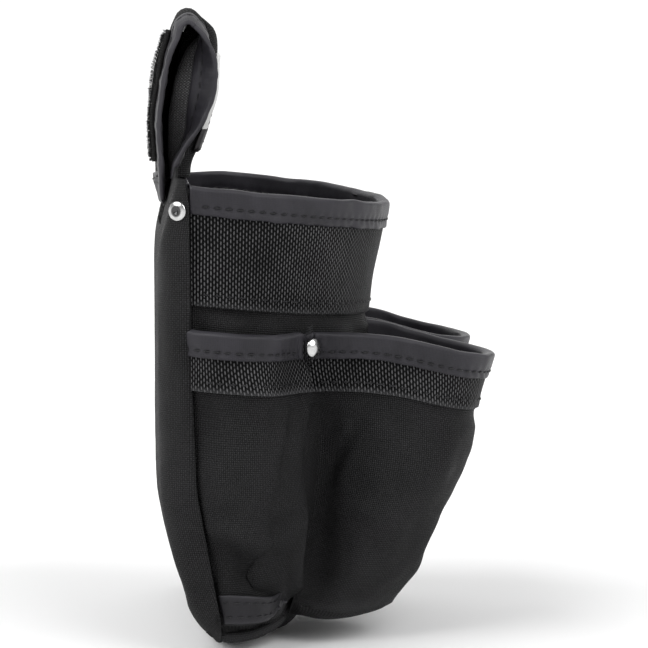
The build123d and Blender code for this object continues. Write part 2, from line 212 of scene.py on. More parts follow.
def grid_normals(grid):
    du, dv = np.gradient(grid, axis=0), np.gradient(grid, axis=1)
    n = np.cross(dv, du)
    return n / np.maximum(np.linalg.norm(n, axis=2, keepdims=True), 1e-9)


def cloth_uv(grid):
    """Real distances over a grid: along its first axis and across its second, in millimetres."""
    mid_u, mid_v = grid.shape[1] // 2, grid.shape[0] // 2
    u, v = lengths(grid[:, mid_u]), lengths(grid[mid_v])
    return np.stack(np.meshgrid(u, v, indexing="ij"), 2)


def slab_mesh(face, back, uv, mirror=False):
    """A closed slab between two grids: points, faces and UVs."""
    nu, nv = face.shape[:2]
    verts = np.concatenate([face.reshape(-1, 3), back.reshape(-1, 3)])
    faces = quads(nu, nv) + quads(nu, nv, nu * nv, flip=True)
    rim = ([i * nv for i in range(nu)] + [(nu - 1) * nv + j for j in range(1, nv)]
           + [i * nv + nv - 1 for i in range(nu - 2, -1, -1)] + [j for j in range(nv - 2, 0, -1)])
    for a, b in zip(rim, rim[1:] + rim[:1]):
        faces.append((b, a, a + nu * nv, b + nu * nv))
    if mirror:
        verts, faces = mirrored(verts, faces)
    return verts, faces, np.tile(uv.reshape(-1, 2), (2, 1))


def slab(name, face, thick, material, back=None, uv=None, mirror=False, wear_and_shade=None, **facts):
    """Cloth of a thickness behind a grid of points on its face, or between two given grids."""
    if back is None:
        back = face - grid_normals(face) * thick
    uv = cloth_uv(face) if uv is None else uv
    verts, faces, uvs = slab_mesh(face, back, uv, mirror)
    if wear_and_shade is not None:
        wear_and_shade = np.tile(wear_and_shade.ravel(), 2)
    made = piece(name, verts, faces, uvs, material, wear_and_shade=wear_and_shade, **facts)
    fix_normals(made)
    return made


# ------------------------------------------------------------------ thread
class Thread:
    """Collects stitches, each a short arched length of thread, into one piece."""

    def __init__(self):
        self.verts, self.faces, self.uvs = [], [], []

    def stitch(self, points, normals, radius):
        ring, start = 6, len(self.verts)
        along = np.gradient(points, axis=0)
        along /= np.linalg.norm(along, axis=1, keepdims=True)
        side = np.cross(normals, along)
        count = len(points)
        for i in range(count):
            t = i / (count - 1)
            lift = radius * (1.25 * math.sin(math.pi * t) ** 0.6 - 0.75)
            r = radius * (0.35 + 0.65 * math.sin(math.pi * t) ** 0.5)
            for k in range(ring):
                a = 2 * math.pi * k / ring
                self.verts.append(points[i] + normals[i] * (lift + r * 0.8 * math.sin(a))
                                  + side[i] * r * math.cos(a))
                self.uvs.append((t * 3.7 + k * 0.4, k * 0.4))
        self.faces += quads(count, ring, start, close_v=True)
        self.faces.append([start + k for k in range(ring)][::-1])
        self.faces.append([start + (count - 1) * ring + k for k in range(ring)])

    def row(self, line, normals, pitch=STITCH_PITCH, length=STITCH_LENGTH, radius=THREAD_RADIUS):
        """Stitches along a line of points, a little uneven as a machine makes them."""
        run = lengths(line)
        at = 1.5
        while at + length < run[-1] - 1:
            span = np.linspace(at, at + length * random.uniform(0.94, 1.04), 6)
            pts = np.stack([np.interp(span, run, line[:, k]) for k in range(3)], 1)
            nrm = np.stack([np.interp(span, run, normals[:, k]) for k in range(3)], 1)
            nrm /= np.linalg.norm(nrm, axis=1, keepdims=True)
            sway = np.cross(nrm, np.gradient(pts, axis=0))
            sway /= np.linalg.norm(sway, axis=1, keepdims=True)
            pts = pts + sway * np.linspace(-0.12, 0.16, 6)[:, None]
            self.stitch(pts, nrm, radius)
            at += pitch * random.uniform(0.97, 1.03)

    def finish(self, name, body="pouch", mirror=False):
        if mirror:
            self.verts, self.faces = mirrored(self.verts, self.faces)
        return piece(name, self.verts, self.faces, self.uvs, THREAD, body, "binding_tape")


# ------------------------------------------------------------------ materials
class Nodes:
    """Small helper for building a material's node tree by expression."""

    def __init__(self, name):
        self.material = bpy.data.materials.new(name)
        self.material.use_nodes = True
        self.tree = self.material.node_tree
        self.shader = self.tree.nodes["Principled BSDF"]

    def add(self, kind, *inputs, **settings):
        node = self.tree.nodes.new(kind)
        for key, value in settings.items():
            setattr(node, key, value)
        for slot_index, value in enumerate(inputs):
            self.put(value, node.inputs[slot_index])
        return node

    def put(self, value, socket):
        if isinstance(value, bpy.types.NodeSocket):
            self.tree.links.new(value, socket)
        elif value is not None:
            socket.default_value = value

    def math(self, operation, a, b=0.0, c=0.0, clamp=False):
        return self.add("ShaderNodeMath", a, b, c, operation=operation, use_clamp=clamp).outputs[0]

    def plus(self, a, b):
        return self.math("ADD", a, b)

    def minus(self, a, b):
        return self.math("SUBTRACT", a, b)

    def times(self, a, b, clamp=False):
        return self.math("MULTIPLY", a, b, clamp=clamp)

    def power(self, a, b):
        return self.math("POWER", a, b)

    def scaled(self, a, b, c):
        """a times b, plus c."""
        return self.math("MULTIPLY_ADD", a, b, c)

    def uv(self):
        """The cloth's own coordinates in millimetres: along it and across it."""
        node = self.add("ShaderNodeUVMap", uv_map="cloth")
        parts = self.add("ShaderNodeSeparateXYZ", node.outputs[0])
        return self.times(parts.outputs[0], 1000.0), self.times(parts.outputs[1], 1000.0)

    def wave(self, x, pitch):
        """|sin| with one hump per pitch."""
        return self.math("ABSOLUTE", self.math("SINE", self.times(x, math.pi / pitch)))

    def noise(self, scale, detail=3.0, rough=0.55, stretch=None):
        """Noise from 0 to 1 over the object, with a scale in features per metre."""
        where = self.add("ShaderNodeTexCoord").outputs["Object"]
        if stretch:
            where = self.add("ShaderNodeMapping", where, None, None, stretch).outputs[0]
        node = self.add("ShaderNodeTexNoise")
        self.put(where, node.inputs["Vector"])
        node.inputs["Scale"].default_value = scale
        node.inputs["Detail"].default_value = detail
        node.inputs["Roughness"].default_value = rough
        return node.outputs["Fac"]

    def ramp(self, x, *stops):
        node = self.add("ShaderNodeValToRGB", x)
        while len(node.color_ramp.elements) < len(stops):
            node.color_ramp.elements.new(0.5)
        for element, (place, colour) in zip(node.color_ramp.elements, stops):
            element.position = place
            element.color = (*colour, 1)
        return node.outputs[0]

    def mix(self, amount, a, b):
        node = self.add("ShaderNodeMix", data_type="RGBA")
        self.put(amount, node.inputs[0])
        self.put(a, node.inputs[6])
        self.put(b, node.inputs[7])
        return node.outputs[2]

    def speckled(self, tone, specks, amount):
        """The tone, lighter and darker by specks of 0 to 1."""
        return self.plus(tone, self.times(self.minus(specks, 0.5), amount))

    def scuff_and_shade_at(self):
        """How much the cloth has been scuffed here, from 0 to 1; on a nickel cap, how much painted shade darkens
        its dimpled middle.
        """
        return self.add("ShaderNodeAttribute", attribute_name="wear_and_shade").outputs["Fac"]

    def made_paler(self, colour, amount, pale):
        """The colour, turned paler by a mark's amount."""
        return self.mix(self.times(self.scuff_and_shade_at(), amount, clamp=True), colour, (*pale, 1))

    def finish(self, colour, roughness, height=None, depth=0.2, **constants):
        self.put(colour, self.shader.inputs["Base Color"])
        self.put(roughness, self.shader.inputs["Roughness"])
        for key, value in constants.items():
            self.shader.inputs[key.replace("_", " ")].default_value = value
        if height is not None:
            node = self.add("ShaderNodeBump")
            node.inputs["Distance"].default_value = depth * MM
            node.inputs["Strength"].default_value = 1.0
            self.put(height, node.inputs["Height"])
            self.put(node.outputs[0], self.shader.inputs["Normal"])
        return self.material


def pack_cloth(name, pitch=0.92, dark=(0.0010, 0.0010, 0.0011), light=(0.032, 0.0317, 0.0328), turned=False):
    """Coated plain-weave cloth: fat warp and weft threads pass over each other in turn."""
    n = Nodes(name)
    u, v = n.uv()
    if turned:
        u, v = n.plus(u, v), n.minus(u, v)
    drift = n.times(n.noise(160.0, 2.0), 0.5)
    u, v = n.plus(u, drift), n.plus(v, drift)
    across = n.times(u, 1 / pitch)
    down = n.times(v, 1 / pitch)
    odd = n.math("MODULO", n.math("ABSOLUTE", n.plus(n.math("FLOOR", across), n.math("FLOOR", down))), 2.0)
    warp = n.times(n.wave(u, pitch), n.power(n.wave(v, pitch), 0.5))
    weft = n.times(n.wave(v, pitch), n.power(n.wave(u, pitch), 0.5))
    over = n.times(warp, n.minus(1.0, odd))
    under = n.times(n.times(weft, odd), 0.62)
    height = n.plus(over, under)
    # The colour follows the weave's height: painted highlight on the raised threads and painted shade between them,
    # under random tone and specks.
    tone = n.scaled(n.noise(22.0, 4.0), 0.5, n.times(height, 0.62))
    tone = n.speckled(tone, n.noise(900.0, 1.0), 0.35)
    colour = n.ramp(tone, (0.12, dark), (0.95, light))
    colour = n.made_paler(colour, 0.55, (0.055, 0.055, 0.057))
    rough = n.scaled(n.noise(60.0, 2.0), 0.18, 0.56)
    rough = n.minus(rough, n.times(height, 0.10))
    return n.finish(colour, rough, height, 0.42, Specular_IOR_Level=0.10)


def webbing(name):
    """Heavy webbing: columns of chained ribs, each column half a rib out of step with the next."""
    n = Nodes(name)
    column, rib = 1.43, 2.5
    u, v = n.uv()
    u = n.plus(u, n.times(n.noise(120.0, 2.0), 0.5))
    number = n.math("FLOOR", n.times(u, 1 / column))
    parity = n.math("MODULO", n.math("ABSOLUTE", number), 2.0)
    into = n.minus(n.times(u, 1 / column), number)
    lean = n.times(n.minus(into, 0.5), n.scaled(parity, 2.0, -1.0))
    step = n.plus(n.times(parity, rib / 2), n.times(lean, 0.3))
    chain = n.wave(n.plus(v, step), rib)
    ribs = n.power(n.wave(u, column), 1.2)
    fat = n.power(chain, 0.5)
    height = n.times(ribs, n.scaled(fat, 0.8, 0.2))
    fibre = n.noise(1500.0, 1.0, stretch=(1, 1, 0.25))
    # The colour follows the ribs' height: painted highlight on the rib tops and painted shade in the gaps, over a
    # random fibre tone.
    tone = n.scaled(fibre, 0.25, n.times(height, 0.75))
    tone = n.speckled(tone, n.noise(35.0, 3.0), 0.3)
    colour = n.ramp(tone, (0.30, (0.0005, 0.0005, 0.0006)), (0.62, (0.012, 0.012, 0.0126)),
                    (0.86, (0.105, 0.104, 0.107)))
    colour = n.made_paler(colour, 0.5, (0.12, 0.12, 0.125))
    rough = n.scaled(fibre, 0.2, 0.42)
    return n.finish(colour, rough, height, 0.62, Specular_IOR_Level=0.06)


def binding(name, shade=1.0):
    """Smooth nylon binding tape: very fine ribs across it, and a soft uneven shine, partly painted into its colour
    as sheen streaks.
    """
    n = Nodes(name)
    u, v = n.uv()
    ribs = n.wave(n.plus(u, n.times(n.noise(90.0, 2.0), 0.6)), 0.62)
    cords = n.wave(v, 0.9)
    height = n.scaled(cords, 0.35, ribs)
    broad = n.noise(55.0, 4.0, stretch=(1, 1, 0.6))
    # Broad stretched streaks set most of the colour: painted sheen. The ribs' height adds a little painted
    # highlight.
    tone = n.scaled(broad, 0.85, n.times(height, 0.16))
    tone = n.speckled(tone, n.noise(1400.0, 1.0), 0.2)
    low, high = (tuple(shade * part for part in c) for c in ((0.0075, 0.0071, 0.0088), (0.030, 0.0285, 0.0345)))
    colour = n.ramp(tone, (0.25, low), (0.85, high))
    colour = n.made_paler(colour, 0.5, (0.075, 0.073, 0.082))
    rough = n.scaled(broad, 0.3, 0.28)
    return n.finish(colour, rough, height, 0.035, Sheen_Weight=0.03, Sheen_Roughness=0.35, Specular_IOR_Level=0.22)


def thread(name):
    n = Nodes(name)
    u, v = n.uv()
    twist = n.wave(n.plus(u, n.times(v, 0.8)), 0.5)
    # Its own black, made darker still: painted shade of the groove the stitches sink into, and painted highlight
    # along the twist.
    colour = n.ramp(n.scaled(n.noise(300.0, 2.0), 0.5, n.times(twist, 0.5)),
                    (0.2, (0.0015, 0.0015, 0.002)), (0.9, (0.016, 0.0157, 0.018)))
    return n.finish(colour, n.scaled(twist, -0.1, 0.45), twist, 0.08, Specular_IOR_Level=0.3)


def nickel(name):
    """Nickel plate, darkened in the middle of a cap with a dimple: painted shade in the dimple."""
    n = Nodes(name)
    scuff = n.noise(420.0, 5.0, 0.6)
    colour = n.ramp(scuff, (0.3, (0.46, 0.46, 0.465)), (0.7, (0.66, 0.66, 0.655)))
    # A dimpled cap's dark middle is painted shade.
    colour = n.mix(n.scuff_and_shade_at(), colour, (0.045, 0.045, 0.047, 1))
    rough = n.scaled(n.noise(900.0, 4.0), 0.22, 0.09)
    return n.finish(colour, rough, n.noise(1400.0, 3.0), 0.012, Metallic=1.0)


def fuzz(name, light=(0.03, 0.0295, 0.0295)):
    """Hook-and-loop tape: matt loops over a woven ground."""
    n = Nodes(name)
    curls = n.noise(1700.0, 4.0, 0.7)
    ground = n.wave(n.uv()[1], 1.1)
    height = n.scaled(ground, 0.3, curls)
    colour = n.ramp(height, (0.3, (0.003, 0.003, 0.003)), (1.0, light))
    return n.finish(colour, n.scaled(curls, 0.15, 0.78), height, 0.5, Sheen_Weight=0.04, Sheen_Roughness=0.6,
                    Specular_IOR_Level=0.15)


def rubber(name, low, high, cloudy):
    """The moulded patch: a matt fine grain, with broad clouds to a degree."""
    n = Nodes(name)
    grain = n.noise(1200.0, 3.0)
    tone = n.scaled(n.noise(70.0, 3.0), cloudy, n.times(grain, 1 - cloudy))
    return n.finish(n.ramp(tone, (0.3, low), (0.7, high)), n.scaled(grain, 0.2, 0.42), grain, 0.05)


def foam(name, low, high):
    """Closed cells, or pressed board, with a speckled matt face."""
    n = Nodes(name)
    cells = n.add("ShaderNodeTexVoronoi", n.add("ShaderNodeTexCoord").outputs["Object"]).outputs["Distance"]
    cells.node.inputs["Scale"].default_value = 900.0
    return n.finish(n.ramp(cells, (0.0, low), (0.7, high)), n.scaled(cells, 0.2, 0.7), cells, 0.1)


CLOTH = pack_cloth("pack_cloth")
# A lit copy of the pack cloth, about five times lighter: painted light for the front limb's lining, which the lamps
# barely reach. Its weave runs on the bias.
CLOTH_BIAS_PAINTED_LIGHT = pack_cloth("pack_cloth_bias_painted_light", turned=True, pitch=1.25, dark=(0.004, 0.004, 0.0043),
                          light=(0.15, 0.149, 0.152))
LINING = pack_cloth("lining_cloth", dark=(0.002, 0.002, 0.0022), light=(0.018, 0.018, 0.019))
WEB = webbing("webbing")
BINDING = binding("binding_tape")
HEM = binding("hem_tape", 0.55)
THREAD = thread("thread")
NICKEL = nickel("nickel_plate")
FUZZ = fuzz("loop_tape")
HOOK_TAPE = fuzz("hook_tape", (0.02, 0.02, 0.0205))
PATCH = rubber("patch_rubber", (0.60, 0.60, 0.59), (0.74, 0.74, 0.73), 0.6)
PATCH_BAND = rubber("patch_band_rubber", (0.012, 0.011, 0.012), (0.030, 0.026, 0.028), 0.0)
FOAM = foam("closed_cell_foam", (0.05, 0.05, 0.05), (0.12, 0.12, 0.12))
BOARD = foam("fibre_board", (0.03, 0.025, 0.02), (0.10, 0.085, 0.07))

for node in ("pocket_rivet_posts", "corner_rivet_posts"):
    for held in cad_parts[node].material_slots:
        held.material = NICKEL


# ------------------------------------------------------------------ the main pocket
def main_rim(y):
    """The height of the main pocket's sloping rim."""
    return RIM_Z + RIM_SLOPE * (y - SEAM_Y)


def main_wall(turn, z, offset):
    """Points on the main pocket's outer face: turn runs 0 to pi from the left seam to the right."""
    seam, half_width, depth = between(BODY_STATIONS, z)
    c, s = np.cos(turn), np.sin(turn)
    nx, ny = -c / half_width, -s / depth
    run = np.hypot(nx, ny)
    x = -half_width * c + offset * nx / run
    flare = 3.0 * s ** 2 * rise((z + 88) / 38)
    lift = 3.8 * rise((x + 30) / 90) * rise((z + 105) / 60) * rise(s / 0.25)
    return np.stack([x, seam - depth * s - flare + offset * ny / run, z + lift], -1)


def main_turns(count):
    """Turns spaced evenly along the wall at the rim."""
    turns = np.linspace(0, math.pi, 800)
    run = lengths(main_wall(turns, np.full(800, -60.0), 0)[:, :2])
    return np.interp(np.linspace(0, 1, count), run / run[-1], turns)


def below_main_rim(turn, drop, offset):
    """Points on the main wall at distances below its sloping rim."""
    z = np.full(drop.shape, -60.0)
    for _ in range(3):
        z = main_rim(main_wall(turn, z, 0.0)[..., 1]) - drop
    return main_wall(turn, z, offset)


def drop_rows(turns, drops, offset=0.0):
    """A grid of such points, and the turn at each."""
    turn, drop = np.meshgrid(turns, drops, indexing="ij")
    return below_main_rim(turn, drop, offset), turn


def outward(turn, z):
    step = main_wall(turn, z, 1.0) - main_wall(turn, z, 0.0)
    return step / np.linalg.norm(step, axis=-1, keepdims=True)


def main_sag(points):
    """How far the cloth below the band stands out from its even shape."""
    y, z = points[..., 1], points[..., 2]
    below = rise((main_rim(y) - WIDE_WEBBING - 1.5 - z) / 7)
    held = rise((np.abs(y + 56) - 7) / 12) * rise((SEAM_Y - y) / 9)
    arches = np.abs(np.sin((y + 8) * math.pi / 24.0)) ** 1.3 * rise((z + 132) / 25)
    return below * held * (3.3 * arches + 0.7 * ripple(points, 26.0, 3))


def make_main_pocket():
    turns = main_turns(230)
    drops = np.r_[np.linspace(0.2, 50, 20), np.linspace(52, 76, 20), np.linspace(80, 130, 18)]
    top, turn = drop_rows(turns, drops)
    last = top[:, -1:, 2]
    t = np.linspace(0, 1, 22)[1:]
    z = last + (BODY_FLOOR - last) * t[None]
    low = main_wall(np.repeat(turns[:, None], len(t), 1), z, 0.0)
    grid = np.concatenate([top, low], 1)
    turn = np.repeat(turns[:, None], grid.shape[1], 1)
    grid = grid + outward(turn, grid[..., 2]) * main_sag(grid)[..., None]
    slab("main_pocket_cloth", grid, FABRIC, CLOTH, slot="pack_cloth", nodes=["main_pocket_wall"])

    face, turn = drop_rows(main_turns(330), np.linspace(3.0, WIDE_WEBBING, 34), GAP + WEBBING)
    edge = rise(np.abs(face[..., 1] - SEAM_Y) / 6)
    above_foot = face[..., 2] - main_rim(face[..., 1]) + WIDE_WEBBING
    wave = (0.28 * ripple(face, 30.0, 5) + 0.5 * bump(above_foot, 0, 3) * ripple(face, 16.0, 6)) * edge
    face = face + outward(turn, face[..., 2]) * wave[..., None]
    above_foot = face[..., 2] - main_rim(face[..., 1]) + WIDE_WEBBING
    slab("main_band", face, WEBBING - 0.1, WEB, wear_and_shade=0.8 * bump(above_foot, 0, 1.2), slot="webbing",
         nodes=["main_webbing"])


def fold_profile(inner, outer, top, foot, inner_foot=None, thick=TAPE):
    """Section of a tape folded over an edge, as (offset, drop): its face, then its back."""
    def side(a, b, lift):
        arch = [(a + (b - a) * (0.5 - 0.5 * math.cos(t)), lift - (lift + 0.9) * (1 - math.sin(t) ** 0.8))
                for t in np.linspace(0, math.pi, 11)]
        down = lambda x, end: [(x, d) for d in np.linspace(1.4, end, 9)]
        return down(a, inner_foot or foot)[::-1] + [(x, -h) for x, h in arch] + down(b, foot)
    return np.array(side(inner, outer, top)), np.array(side(inner + thick, outer - thick, top - thick))


def folded_tape(name, place, columns, profile, seed, stitch, mirror=False, **facts):
    """Tape folded over an edge and sewn down at a depth: place(column, offset, drop) gives its points."""
    face, back = profile
    count = len(columns)
    along = lengths(place(columns, np.zeros((count, 1)), np.zeros((count, 1)))[:, 0])

    def uneven(size, row, number):
        return ripple(np.stack([along, np.full(count, float(row))], 1), size, number)[:, None]

    ruffle, small = uneven(22.0, 0, seed), uneven(7.0, 1, seed + 1)

    def swept(section):
        offset = np.repeat(section[None, :, 0], count, 0)
        drop = np.repeat(section[None, :, 1], count, 0)
        free = 1 - bump(drop, stitch, 2.6)
        pucker = np.sin(along * 2 * math.pi / STITCH_PITCH)[:, None] * bump(drop, stitch, 2.2)
        low_edge = rise((drop - stitch - 1) / 3)
        swell = (0.30 * ruffle * free + 0.16 * small * free - 0.22 * pucker - 0.55 * bump(drop, stitch, 1.2)
                 + 0.35 * low_edge * small)
        offset = offset + np.sign(offset - offset.mean()) * swell * (drop > 0)
        drop = drop + 0.45 * ruffle * (drop < 1) + 0.3 * small * low_edge
        return place(columns, offset, drop)

    ring = np.concatenate([swept(face), swept(back)[:, ::-1]], 1)
    across = np.r_[lengths(face), lengths(face)[::-1]]
    uv = np.stack(np.meshgrid(along, across, indexing="ij"), 2)
    verts, faces = ring.reshape(-1, 3), tube(ring)
    from_edge = (np.r_[face[:, 1], back[::-1, 1]] + 0.6).clip(-1, 4)
    wear_and_shade = np.exp(-(from_edge**2) / 1.2)[None] * 0.7 * (0.5 + 0.5 * uneven(15.0, 3, seed + 3))
    if mirror:
        verts, faces = mirrored(verts, faces)
    fix_normals(piece(name, verts, faces, uv.reshape(-1, 2), BINDING, wear_and_shade=wear_and_shade.clip(0, 1).ravel(),
                      slot="binding_tape", **facts))


def make_main_binding():
    turns = main_turns(260)

    def place(turn, offset, drop):
        return below_main_rim(np.repeat(turn[:, None], drop.shape[1], 1), drop, offset)

    inside, outside = -FABRIC - GAP - TAPE, GAP + WEBBING + GAP + TAPE
    folded_tape("main_rim_tape", place, turns, fold_profile(inside, outside, 1.15, RIM_BINDING), 11, RIM_STITCH,
                nodes=["main_rim_binding"])
    rows = Thread()
    turns = turns[3:-3]
    one = np.ones((len(turns), 1))
    for drop, offset, pitch, way in ((RIM_STITCH, outside - 0.2, STITCH_PITCH, 1),
                                     (WIDE_WEBBING - 5.0, GAP + WEBBING + 0.05, 5.4, 1),
                                     (RIM_STITCH, inside + 0.2, STITCH_PITCH, -1)):
        line = place(turns, offset * one, drop * one)[:, 0]
        rows.row(line, way * outward(turns, line[:, 2]), pitch)
    rows.finish("main_pocket_stitches")


# ------------------------------------------------------------------ the lower pockets
LOWER_RIM = [(20, -98.0), (-5, -99.8), (-30, -101.6), (-59, -104.0), (-82, -103.4), (-100, -106.0),
             (-118, -111.0), (-134, -114.8), (-150, -117.4), (-170, -120.0)]


def lower_rim(y):
    rim = np.array(LOWER_RIM)[::-1]
    return cubic(rim[:, 0], rim[:, 1], y)


def strip_plan(z, bulge, pinch_y, side_x, tip_y, inner_x, flat=1.5, clear=0.0):
    """Thirteen points of the left strip's inner face at a height."""
    seam, _, depth = between(BODY_STATIONS, z)
    pinch_x = on_body(pinch_y, z) - clear
    reach = pinch_y - seam
    slope = (on_body(pinch_y - 0.5, z) - on_body(pinch_y + 0.5, z)) * min(1.0, flat / 4)
    run = math.hypot(1, slope)
    ax, ay = slope / run, -1 / run
    side = [(on_body(seam - 1, z) + 0.2, seam - 0.5),
            (on_body(seam + 0.27 * reach, z) - 0.75 * bulge, seam + 0.27 * reach),
            (on_body(seam + 0.55 * reach, z) - bulge, seam + 0.55 * reach),
            (pinch_x - (flat + 6.5) * ax - 0.16 * bulge, pinch_y - (flat + 6.5) * ay),
            (pinch_x - flat * ax, pinch_y - flat * ay), (pinch_x + flat * ax, pinch_y + flat * ay)]
    leave_x, leave_y = side[-1]
    front = [(leave_x + 0.3 * (side_x - leave_x), leave_y - 11), (side_x, 0.5 * pinch_y + 0.5 * tip_y),
             (side_x + 11, tip_y + 9), ((side_x + inner_x) / 2, tip_y), (inner_x - 9, tip_y + 9),
             (inner_x, 0.45 * pinch_y + 0.55 * tip_y), (inner_x, seam - depth + 8)]
    return side + front


STRIP_PLANS = {-94.0: strip_plan(-94.0, 14.0, -55.2, -80.0, -144.0, -7.5, flat=4.5),
               -116.0: strip_plan(-116.0, 15.0, -55.2, -79.5, -139.8, -7.5, flat=4.5),
               -132.0: strip_plan(-132.0, 15.5, -58.5, -79.0, -135.0, -7.5, flat=2.5, clear=1.5),
               -150.0: strip_plan(-150.0, 15.5, -61.0, -78.0, -131.8, -8.0, clear=3.0),
               -170.0: strip_plan(-170.0, 14.0, -60.5, -76.0, -127.5, -8.5, clear=4.0),
               -190.0: strip_plan(-190.0, 12.0, -58.0, -73.0, -119.5, -9.0, clear=4.0),
               -212.0: strip_plan(-212.0, 7.5, -52.5, -70.0, -108.0, -9.5, clear=3.0),
               -232.0: strip_plan(-229.0, 3.0, -47.0, -67.0, -98.0, -10.0, clear=1.0)}
SIDE_COLUMNS, FRONT_COLUMNS = 64, 190


class Strip:
    """The left lower strip's inner face: columns along its plan, at every height."""

    def __init__(self):
        heights = sorted(STRIP_PLANS)
        share, lines = 500, []
        for h in heights:
            points = np.array(STRIP_PLANS[h])
            knots = lengths(points)
            pinch = (knots[4] + knots[5]) / 2
            at = np.r_[np.linspace(0, pinch, share // 3), np.linspace(pinch, knots[-1], share)[1:]]
            lines.append(cubic(knots, points, at))
        self.levels = np.arange(-234.0, -90.0, 1.0)
        dense = cubic(heights, np.array(lines), np.clip(self.levels, -232, -94))
        rows = []
        for z, line in zip(self.levels, dense):
            seam, half_width, depth = between(BODY_STATIONS, z)
            inside = ((line[:, 0] / (half_width + 0.4)) ** 2 + ((line[:, 1] - seam) / (depth + 0.4)) ** 2 < 1)
            inside[:share] = False
            end = int(np.argmax(inside)) if inside.any() else len(line)
            pinch = share // 3 - 1
            rows.append(np.concatenate([evenly(line[: pinch + 1], SIDE_COLUMNS),
                                        evenly(line[pinch:end], FRONT_COLUMNS)[1:]]))
        self.table = np.array(rows)
        along = np.gradient(self.table, axis=1)
        normal = np.stack([along[..., 1], -along[..., 0]], -1)
        self.normals = normal / np.linalg.norm(normal, axis=-1, keepdims=True)
        self.columns = np.arange(self.table.shape[1])

    def at(self, column, z, offset=0.0):
        """Points and outward directions for whole-number columns and any heights."""
        place = np.clip((z - self.levels[0]), 0, len(self.levels) - 1.001)
        low = place.astype(int)
        t = (place - low)[..., None]
        xy = self.table[low, column] * (1 - t) + self.table[low + 1, column] * t
        out = self.normals[low, column] * (1 - t) + self.normals[low + 1, column] * t
        out = out / np.linalg.norm(out, axis=-1, keepdims=True)
        xy = xy + out * np.asarray(offset)[..., None]
        return (np.concatenate([xy, np.asarray(z)[..., None]], -1),
                np.concatenate([out, np.zeros_like(xy[..., :1])], -1))

    def below_rim(self, columns, drop, offset):
        """Points and outward directions at distances below the strip's rim."""
        column = np.repeat(columns[:, None], drop.shape[1], 1)
        z = np.full(drop.shape, -105.0)
        for _ in range(4):
            z = lower_rim(self.at(column, z)[0][..., 1]) - drop
        return self.at(column, z, offset)

    def line(self, drop, offset):
        """The same as one line along the whole strip, at one distance."""
        one = np.ones((len(self.columns), 1))
        points, out = self.below_rim(self.columns, drop * one, offset * one)
        return points[:, 0], out[:, 0]


STRIP = Strip()
PANEL_IN = GAP + TAPE + GAP
WEBBING_IN = PANEL_IN + FABRIC + GAP
TAPE_IN = WEBBING_IN + WEBBING + GAP


def panel_folds(points, column):
    """How far the lower panel stands out (or tucks in) from its even shape."""
    y, z = points[..., 1], points[..., 2]
    side = column < SIDE_COLUMNS
    below_band = rise((lower_rim(y) - NARROW_WEBBING - 1 - z) / 8)
    held = rise(column / 5.0) * rise((z + 231) / 6)
    pinch = 1 - bump(column, SIDE_COLUMNS, 5.0)
    soft = (1.9 * ripple(points, 44.0, 21) + 0.8 * ripple(points, 17.0, 22)) * held * pinch
    # the tuck low on the side pocket, with an upright roll of cloth beside the valley
    centre = -198 - 0.30 * (-14 - y)
    tuck = -9.5 * bump(z, centre - 2, 8.5) * rise((y + 49) / 8) * rise((-11 - y) / 15)
    lip = 4.0 * bump(z, centre + 12, 5.5) * rise((y + 50) / 11) * rise((-8 - y) / 13)
    roll = 7.0 * bump(y, -51.3 - 0.03 * (z + 200), 4.3) * rise((-150 - z) / 35) * rise((z + 224) / 7)
    slant = -5.6 * bump(y, -44.5 + 0.22 * (-195 - z), 4.0) * rise((-178 - z) / 12) * rise((z + 218) / 4)
    # soft upright folds running down from the rivet, and slanting ones behind the front pocket's mouth
    pleat = 1.6 * np.sin((y + 50 + 0.16 * (z + 130)) * 0.62) * bump(y, -50, 12)
    pleat = pleat * rise((-118 - z) / 12) * rise((z + 190) / 40)
    seam_line = -1.2 * bump(y + 54.5, 0, 1.1) * rise((z + 152) / 8)
    front = np.where(side, 0, 1.0)
    valley = -5.5 * bump(y, -63.5 + 0.04 * (-180 - z), 7.0) * rise((-128 - z) / 25) * rise((z + 222) / 9)
    crease = -3.0 * front * bump(y + 0.55 * (z + 160), -70.0, 4.0) * bump(z, -160, 16) * rise((-62 - y) / 6)
    drape = front * 1.6 * np.sin((y * 0.9 + z * 0.55) * 0.085) * rise((-85 - y) / 25)
    foot = -2.0 * front * rise((-214 - z) / 14)
    total = below_band * (soft + pleat + crease + valley + drape * held) + seam_line + foot + roll
    return total + np.where(side, tuck + lip + slant, 0)


def clear_of_body(points):
    """The same points, moved out where they would come within a cloth's thickness of the main pocket."""
    seam, half_width, depth = between(BODY_STATIONS, points[..., 2])
    x, y = points[..., 0] / half_width, (points[..., 1] - seam) / depth
    reach = np.hypot(x, y)
    need = 1 + (FABRIC + 0.5) / depth
    share = np.where(points[..., 1] < seam, np.maximum(1.0, need / np.maximum(reach, 1e-6)), 1.0)
    return np.stack([points[..., 0] * share, seam + (points[..., 1] - seam) * share, points[..., 2]], -1)


def panel_foot(column):
    """The height of the panel's lower edge, which rises where the cloth is pinched."""
    return -230.5 + 8.5 * bump(column, SIDE_COLUMNS + 1, 7.0) + 2.0 * bump(column, SIDE_COLUMNS + 20, 14.0)


